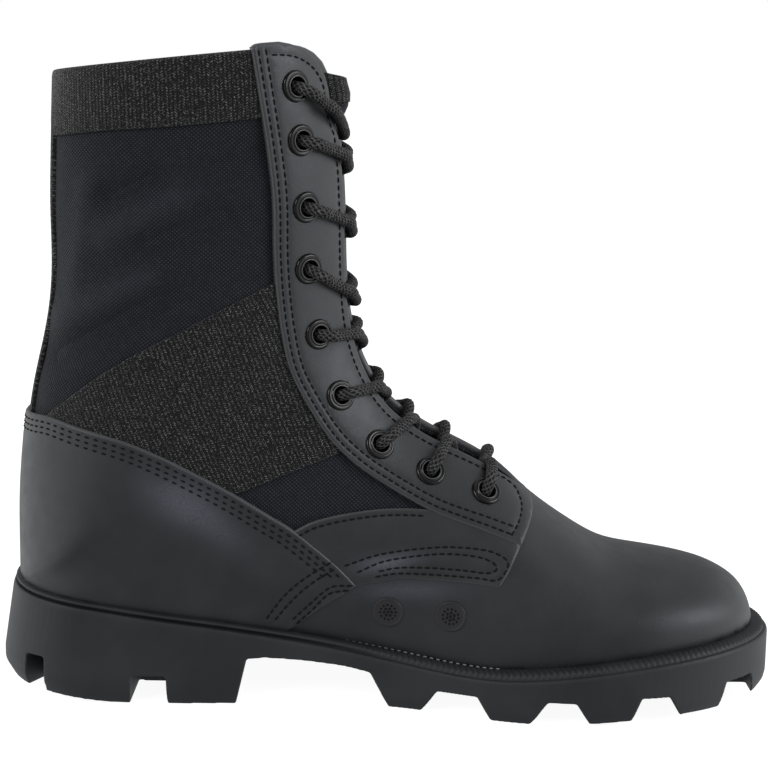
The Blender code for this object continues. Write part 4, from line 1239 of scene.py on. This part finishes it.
def build_patch(side_name, side):
    edges = [(side_edge(PATCH_TOP, side), True), (side_edge(PATCH_HIDDEN_TOP, side), False),
             (side_edge(PATCH_FRONT, side), True), (side_edge(PATCH_LOW, side), True),
             (side_edge(PATCH_HIDDEN_REAR, side), False)]
    seams = [found_on(beside(PATCH_TOP, -2.4), side)]
    seams += [side_edge(path, side) for path in PATCH_LOOPS]

    def swell(points):
        return soft_relief(points, PATCH_CREASES)

    panel(f"patch_skin_{side_name}", edges, front_chart, PATCH_TOP_H, leather, "leather",
          [f"patch_{side_name}"], seams, 2.0, relief=swell, sheens=PATCH_SHEENS)
    for path in seams:
        stitch(path, PATCH_TOP_H, relief=swell)


def build_eyestay(side_name, side):
    rear = side_edge(STAY_REAR, side)
    slope = (rear[0, 1] - rear[6, 1]) / (rear[0, 0] - rear[6, 0])

    def lengthened(path):
        """The path led on from its first place to the top edge."""
        rows = np.linspace(LAST_ROW, path[0, 0], 14)[:-1]
        return np.vstack([np.column_stack([rows, path[0, 1] + slope * (rows - path[0, 0])]), path])

    rear = lengthened(rear)
    front = side_edge(STAY_FRONT, side)
    nose = smooth_curve([front[-1]] + [(row, side * out) for row, out in STAY_NOSE], 0.08)
    rows = np.concatenate([np.linspace(STAY_NOSE[-1][0], 26.4, 200), np.linspace(26.5, LAST_ROW, 30)])
    throat = np.column_stack([rows, side * throat_at(rows)])
    corner = (rear[0, 1] - throat[-1, 1]) * side
    head = np.array([(LAST_ROW - drop, throat[-1, 1] + side * corner * part)
                     for part, drop in ((0.3, 0.0), (0.6, 0.0), (0.8, 0.01), (0.91, 0.035), (0.98, 0.08))])
    edges = [(rear[1:], True), (front, True), (nose, True), (throat, True), (head, True)]
    seams = [lengthened(found_on(beside(STAY_REAR, inset), side))[2:-3] for inset in STAY_ROWS]
    rows = np.linspace(STAY_NOSE[-1][0] + 0.1, 26.6, 160)
    along = np.column_stack([rows, side * (throat_at(rows) + STAY_INSET)])
    crown = smooth_curve([along[-1]] + [(row, side * out) for row, out in STAY_CROWN], 0.5)
    seams.append(even_path(np.vstack([side_edge(STAY_TOE, side), along, crown[1:]]), 0.9))
    holes = [(r, side * d, STAY_HOLE) for r, d in EYELETS]

    def pucker(points):
        nose_share = np.clip((points[:, 0] - 42) / 10, 0, 1) * (0.0 if side < 0 else 1.0)
        return soft_relief(points, STAY_CREASES) - 1.2 * nose_share

    panel(f"eyestay_skin_{side_name}", edges, front_chart, STAY_H, leather, "leather",
          [f"eyestay_{side_name}"], seams, 2.2, relief=pucker, holes=holes)
    for path in seams:
        stitch(path, STAY_H, relief=pucker)


def build_strap(side_name, side):
    c, s = cos_sin(STRAP_TURN)

    def slanted(points):
        u, v = level_map(points).T
        return np.column_stack([u * c + v * s, v * c - u * s])

    edges = [(side_edge(STRAP_TOP, side), True), (side_edge(STRAP_HIDDEN_FRONT, side, 3), False),
             (side_edge(STRAP_LOW, side), True), (side_edge(STRAP_HIDDEN_REAR, side, 3), False)]
    panel(f"strap_webbing_{side_name}", edges, front_chart, WEBBING_TOP, webbing, "webbing",
          [f"ankle_strap_{side_name}"], (), 1.8, flat=slanted)


def build_side_panels():
    for side_name, side in SIDES.items():
        build_patch(side_name, side)
        build_eyestay(side_name, side)
        build_strap(side_name, side)


def build_band():
    """The webbing folded over the collar, from one eyestay round the back to the other."""
    profile = [
        # share of the way up, height, lift over the canvas edge
        (0.0, 0.1, 0), (0.0, 0.9, 0), (0.02, 1.3, 0), (0.25, 1.35, 0), (0.5, 1.35, 0), (0.75, 1.35, 0),
        (0.93, 1.35, 0), (0.985, 1.2, 0), (1.0, 0.75, 0.5), (1.0, 0.0, 0.8), (1.0, -1.0, 0.8),
        (1.0, -1.9, 0.5), (0.985, -2.4, 0), (0.93, -2.6, 0), (0.5, -2.6, 0), (0.05, -2.6, 0), (0.0, -1.7, 0),
    ]
    part, height, lift = np.array(profile).T
    columns = []
    for side in (-1, 1):
        shares = np.linspace(38.0 / skin.length(LAST_ROW, side), 1.0, 110)
        columns += [(side, share) for share in (shares if side < 0 else shares[::-1][1:])]
    low = {side: side_edge(BAND_LOW, side) for side in (-1, 1)}
    points, uv = [], []
    for side, share in columns:
        low_rows, low_distances = low[side][::-1].T
        first = np.interp(share, np.abs(low_distances) / skin.length(low_rows, side), low_rows)
        rows = first + (BAND_TOP - first) * part
        line = skin.at(rows, side * share * skin.length(rows, side), height)
        line[:, 2] += lift
        points.append(line)
    for run, line in zip(runs_along([line[4] for line in points]), points):
        uv.append(np.column_stack([np.full(len(profile), run), line[:, 2]]))
    faces = sheet_faces(len(columns), len(profile))
    points = np.vstack(points)
    # A highlight is painted into the colour at the band's back corner
    add_piece("band_webbing", points, faces, webbing, "webbing", ["collar_band"], np.vstack(uv),
              sheen=soft_spots(points, BAND_SHEENS))


def build_back():
    """The webbing up the back seam, with a scalloped selvedge."""
    scallop = 2.4
    rows = np.linspace(22.2, 27.0, 240)
    across = np.concatenate([[-1], np.linspace(-0.97, 0.97, 27), [1]])
    heights = skin.at(rows, -skin.length(rows, -1))[:, 2]
    wave_up = np.cos(2 * math.pi * heights / scallop)
    half = np.interp(rows, [22.2, 24, 27], [14.0, 13.0, 17.0]) + 0.3 * wave_up
    r, b = np.meshgrid(rows, across, indexing="ij")
    reach = b * half[:, None]
    d = np.where(reach > 0, 1, -1) * skin.left(r, reach)
    puff = 0.22 * wave_up[:, None] * np.abs(b) ** 4
    edge = np.where(np.abs(b) > 0.99, 0.0, 1.0)
    points = skin.at(r.ravel(), d.ravel(), ((WEBBING_TOP + puff) * edge).ravel())
    add_piece("back_webbing", points, sheet_faces(len(rows), len(across)), webbing, "webbing", ["back_strap"],
              np.column_stack([reach.ravel(), points[:, 2]]))


def tongue_sheet(rows, half, thick, lift):
    """A sheet across the throat: it dips under both eyestays and its head comes forward."""
    r, b = np.meshgrid(rows, np.linspace(-1, 1, 41), indexing="ij")
    d = half * b
    r = r + 0.22 * np.clip((r - 26.2) / 0.9, 0, 1) * np.minimum((d / 12) ** 2, 1)
    gap = np.minimum(throat_at(r) - 0.5, 11.0)
    under = np.interp(r, [9.2, 26.2, 26.9, 27.3], [-6.6, -6.6, -4.6, -4.2])
    crest = np.interp(r, [9.2, 10.4, 15.0, 20.0, 25.9, 26.2, 26.5, 26.8, 27.1],
                      [-6.6, -6.2, -5.8, -4.2, -3.9, 2.6, 5.4, 6.2, 5.6])
    deep = under + (crest - under) * np.exp(-(d / gap) ** 4) + lift
    top, low = (skin.at(r.ravel(), d.ravel(), (deep - t).ravel()) for t in (0, thick))
    n, c = len(top), b.shape[1]
    faces = []
    for quad in sheet_faces(len(rows), c):
        faces += [quad[::-1], tuple(n + v for v in quad)]
    rim = list(range(c)) + [i * c + c - 1 for i in range(1, len(rows))] + [n - 1 - j for j in range(1, c)]
    rim += [i * c for i in range(len(rows) - 2, 0, -1)]
    faces += [(a, e, n + e, n + a) for a, e in zip(rim, rim[1:] + rim[:1])]
    flat = np.column_stack([d.ravel(), np.interp(r.ravel(), skin.rows, skin.ahead)])
    return np.vstack([top, low]), faces, np.vstack([flat, flat])


def build_tongue():
    points, faces, uv = tongue_sheet(np.linspace(10.0, 27.1, 220), 32.0, 2.2, 0.0)
    add_piece("tongue_canvas", points, faces, canvas, "canvas", ["tongue"], uv)
    points, faces, uv = tongue_sheet(np.linspace(26.58, 27.14, 24), 32.4, 3.4, 0.6)
    add_piece("tongue_webbing", points, faces, webbing, "webbing", (), uv)


# Hardware


def axes_at(row, distance, height):
    """A point over the bootie, the normal there and two axes across it."""
    axis = skin.normal(row, distance)
    first = unit(np.cross(axis, (0.0, 1.0, 0.0)))
    return skin.at(row, distance, height), axis, first, np.cross(axis, first)


def turned(row, distance, height, profile, count):
    """Points and faces of a profile of radius and height turned about the bootie's normal."""
    centre, axis, first, second = axes_at(row, distance, height)
    a = turns(count)[:, None]
    radial = first * np.cos(a) + second * np.sin(a)
    points = np.vstack([centre + radial * r + axis * h for r, h in profile])
    return points, ring_faces(len(profile), count)


def build_eyelets():
    """Rolled eyelets: a glossy flange on the leather, a raised inner lip, a barrel and a flare inside."""
    around = 44
    profile = [(5.8, -0.2), (5.8, 0.2), (5.68, 0.52), (5.4, 0.78), (5.0, 0.92), (4.6, 0.9), (4.34, 0.74),
               (4.22, 0.86), (4.05, 1.12), (3.8, 1.3), (3.55, 1.26), (3.34, 1.0), (3.22, 0.5), (3.2, -0.4),
               (3.2, -4.4), (3.6, -5.0), (5.0, -5.2), (5.2, -4.9)]
    parts = [turned(row, side * distance, STAY_H, profile, around)
             for side in SIDES.values() for row, distance in EYELETS]
    # The top of each inner lip is marked for a painted highlight: paler enamel there
    painted_lip_highlight = [1.0 if 3.5 < r < 4.0 and h > 1 else 0.0 for r, h in profile for _ in range(around)] * len(parts)
    names = [f"eyelet_{side}_{k + 1}" for side in SIDES for k in range(len(EYELETS))]
    add_piece("eyelet_rings", *gathered(parts), enamel, "enamel", names, edge=painted_lip_highlight)


def vent_plate(radius, around, pits, sides):
    """A flat round plate with round holes for the pits, and the walls and floors under them.

    The points of the plate come first, then the tops of the walls and the floors.
    """
    flat, loops, faces = [], [], []
    for size, (x, y), count in [(radius, (0, 0), around)] + [(size, spot, sides) for size, spot in pits]:
        base = len(flat)
        flat += [(x + size * math.cos(a), y + size * math.sin(a)) for a in turns(count)]
        loops += [(base + i, base + (i + 1) % count) for i in range(count)]
    found = delaunay_2d_cdt([Vector(p) for p in flat], loops, [], 1, 1e-5)
    plate = np.array(flat)
    for triangle in found[2]:
        corners = [found[3][v][0] for v in triangle]
        if min(math.dist(plate[corners].mean(0), spot) - size for size, spot in pits) > -0.03:
            faces.append(corners)
    inner = len(plate) - around
    for a in range(len(plate), len(plate) + inner, sides):
        b = a + inner
        faces += [(a + i, a + (i + 1) % sides, b + (i + 1) % sides, b + i) for i in range(sides)]
        faces.append(range(b, b + sides))
    return plate, faces


def build_vents():
    """Two screened drain vents: a rim and a plate with a pattern of pits."""
    around, pitch, deep = 48, 1.5, 0.27
    rim = [(6.0, -0.6), (6.0, 0.1), (5.85, 0.38), (5.55, 0.55), (5.2, 0.5), (4.95, 0.36), (4.8, 0.32)]
    spots = [(0.0, 0.0)] + [(pitch * n * math.cos(a), pitch * n * math.sin(a))
                            for n in (1, 2) for a in turns(6 * n)]
    plate, plate_faces = vent_plate(rim[-1][0], around, list(zip([0.62] * 7 + [0.5] * 12, spots)), 10)
    parts, dark = [], []
    for row, distance in VENTS:
        centre, axis, first, second = axes_at(row, -distance, VAMP_TOP)
        top = centre + plate[:, :1] * first + plate[:, 1:] * second + axis * rim[-1][1]
        edges = top[around:]
        parts += [turned(row, -distance, VAMP_TOP, rim, around),
                  (np.vstack([top, edges, edges - axis * deep]), plate_faces)]
        # Pit walls and floors are marked for painted shade: near-black paint there
        dark += [0.0] * (len(rim) * around + len(top)) + [1.0] * (2 * len(edges))
    add_piece("vent_screens", *gathered(parts), vent_paint, "enamel", ["vent_1", "vent_2"], edge=dark)


# Lace


# Of each crossing, from the top: the share of the way down to the next eyelets, the height of the upper run
CROSS_SHARE = (1.17, 0.68, 0.89, 1.05, 0.78, 0.72, 0.46, 0.21)
CROSS_HIGH = (2.4, 2.6, 2.4, 2.0, 1.4, 0.8, 0.5, 0.2)
CROSS_APART = 4.2
LACE_LIES = STAY_H + LACE_D / 2 + 0.2
# Where the cord leaves an eyelet: distance towards the throat, and height
LACE_OUT = [(0.8, 3.3), (3.4, LACE_LIES + 1.1)]


def strand(k, side):
    """A run of the cord: out of an eyelet, over the eyestay and throat, and under to the next one across."""
    (row, out), (low, low_out) = EYELETS[k], EYELETS[k + 1]
    gap, far = throat_at(row), throat_at(low)
    middle = row + CROSS_SHARE[k] * (low - row)
    cross = CROSS_HIGH[k] - (0.0 if side < 0 else CROSS_APART)
    lies = LACE_LIES
    places = [(row, side * out, -6.5), (row, side * out, -1.5)]
    for d, height in (*((out - away, h) for away, h in LACE_OUT), (out - 6.6, lies + 0.8), (out - 10.0, lies),
                      (gap + 1.5, lies), (gap - 2.0, 0.35 * cross + 0.65 * lies), (gap * 0.45, cross + 0.5)):
        places.append((row + (middle - row) * (1 - d / out), side * d, height))
    for d, height in ((0.0, cross), (far * 0.4, cross - 0.3 * (cross + 4.2)),
                      (far * 0.8, -3.8), (far + 3.0, -4.3), (low_out - 3.0, -5.8)):
        places.append((middle + (low - middle) * d / low_out, -side * d, height))
    return places


def lace_path():
    """Places of the cord: zigzag down from the inner top eyelet, over the bar, and up to the outer one."""
    chains = {}
    for side in (-1, 1):
        chains[side] = [p for k in range(len(EYELETS) - 1) for p in strand(k, side * (-1) ** k)]
    row, out = EYELETS[-1]
    half = [(out, -6.5), (out, -1.5), *((out - away, h) for away, h in LACE_OUT),
            (out - 6.6, LACE_LIES + 0.4), (11.0, LACE_LIES - 0.3), (7.6, 3.6), (4.0, 0.6)]
    bar = [(row, -d, h) for d, h in half] + [(row, 0.0, -0.6)] + [(row, d, h) for d, h in half[::-1]]
    return chains[-1] + bar + chains[1][::-1]


def build_lace():
    """One braided cord: its radius swells where two sets of strands, of opposite lay, come over."""
    sides, strands, lay = 24, 6, 11.0
    line = smooth_curve(skin.at(*np.array(lace_path()).T), 0.4)
    runs = runs_along(line)
    even = np.arange(0, runs[-1], 0.42)
    line = resampled(even, runs, line)
    ahead = unit(np.gradient(line, axis=0))
    normal = np.cross(ahead[0], (0.3, 0.1, 0.9))
    normals = []
    for t in ahead:
        normal = normal - t * (normal @ t)
        normal /= np.linalg.norm(normal)
        normals.append(normal)
    normals = np.array(normals)
    a = turns(sides)
    turn = (2 * math.pi * even / lay)[:, None]
    one, two = np.cos(strands * (a + turn)), np.cos(strands * (a - turn))
    swell = 0.3 * np.maximum(one, two)
    radius = LACE_D / 2 - 0.22 + swell
    points, faces = tube(line, normals, np.cross(ahead, normals), radius[..., None], sides)
    # How deep each point lies between the strands, for the painted shade in the braid's hollows
    hollow = 1 - (swell - swell.min()) / (swell.max() - swell.min())
    names = ["lace_bar"] + [f"lace_cross_{k + 1}" for k in range(len(EYELETS) - 1)]
    add_piece("lace_cord", points, faces, braid, "cord", names, edge=hollow.ravel())


def build_stitches():
    parts = [thread_tube(line, normals, THREAD / 2) for line, normals in STITCHES]
    add_piece("stitches", *gathered(parts), thread, "cord")


# Stage


# Strength of the white surround in front and behind, and to both sides
SURROUND = (0.43, 1.6)
# Half size and height of the floor
FLOOR = (6000, -0.3)
LAMPS = [
    # place, aim, size, watts
    ((-1.0, -0.9, 0.95), (-0.03, 0, 0.12), 0.6, 7.0),
    ((1.3, -0.6, 0.65), (0.05, 0, 0.06), 0.7, 9.0),
    ((0.05, 0.35, 1.4), (0.0, 0, 0.1), 1.2, 2.0),
]


def build_stage():
    """A white floor that runs into a white surround, and soft boxes in front and above."""
    scene = bpy.context.scene
    scene.view_settings.view_transform = "Standard"
    world = bpy.data.worlds.new("studio")
    scene.world = world
    world.use_nodes = True
    tree = world.node_tree
    seen = node(tree, "LightPath")["Is Camera Ray"]
    sideways = node(tree, "SeparateXYZ", {}, Vector=node(tree, "TexCoord")["Generated"])[0]
    glow = ramp(tree, math_node(tree, "ABSOLUTE", sideways), 0.35, 0.95, *SURROUND)
    tree.links.new(math_node(tree, "MAXIMUM", seen, glow), tree.nodes["Background"].inputs[1])
    tree.nodes["Background"].inputs[0].default_value = (1, 1, 1, 1)
    half, low = FLOOR
    corners = [(x * half, y * half, low) for x, y in ((-1, -1), (1, -1), (1, 1), (-1, 1))]
    mesh = new_mesh("floor", corners, [(0, 1, 2, 3)])
    floor = new_thing("floor", mesh)
    floor.visible_diffuse = floor.visible_glossy = False
    made, _, shader, _ = new_look("floor", 0.1, Roughness=0.9)
    shader.inputs["Base Color"].default_value = (0.3, 0.3, 0.3, 1)
    shader.inputs["Emission Color"].default_value = (1, 1, 1, 1)
    shader.inputs["Emission Strength"].default_value = 0.93
    mesh.materials.append(made)
    for k, (place, aim, size, watts) in enumerate(LAMPS):
        lamp = bpy.data.lights.new(f"lamp_{k + 1}", "AREA")
        lamp.size, lamp.energy = size, watts
        thing = new_thing(lamp.name, lamp)
        thing.location = place
        thing.rotation_euler = (Vector(aim) - Vector(place)).to_track_quat("-Z", "Y").to_euler()


CAMERA_AT, CAMERA_AIM = (-0.002, -0.610, 0.242), (-0.002, 0.0, 0.120)
CAMERA_LENS, CAMERA_ROLL = 74.16, 1.0


def build_camera():
    camera = bpy.data.cameras.new("camera")
    camera.lens, camera.sensor_width, camera.clip_start = CAMERA_LENS, 36.0, 0.01
    thing = new_thing("camera", camera)
    ahead = (Vector(CAMERA_AIM) - Vector(CAMERA_AT)).normalized()
    right = ahead.cross(Vector((0, 0, 1))).normalized()
    up = right.cross(ahead)
    c, s = cos_sin(CAMERA_ROLL)
    right, up = right * c + up * s, up * c - right * s
    turn = Matrix((right, up, -ahead)).transposed().to_4x4()
    turn.translation = CAMERA_AT
    thing.matrix_world = turn
    bpy.context.scene.camera = thing


build_camera()
build_stage()
build_sole()
build_welt()
build_welt_stitches()
build_insole()
build_bootie()
build_vamp()
build_counter()
build_side_panels()
build_band()
build_back()
build_tongue()
build_eyelets()
build_vents()
build_lace()
build_stitches()
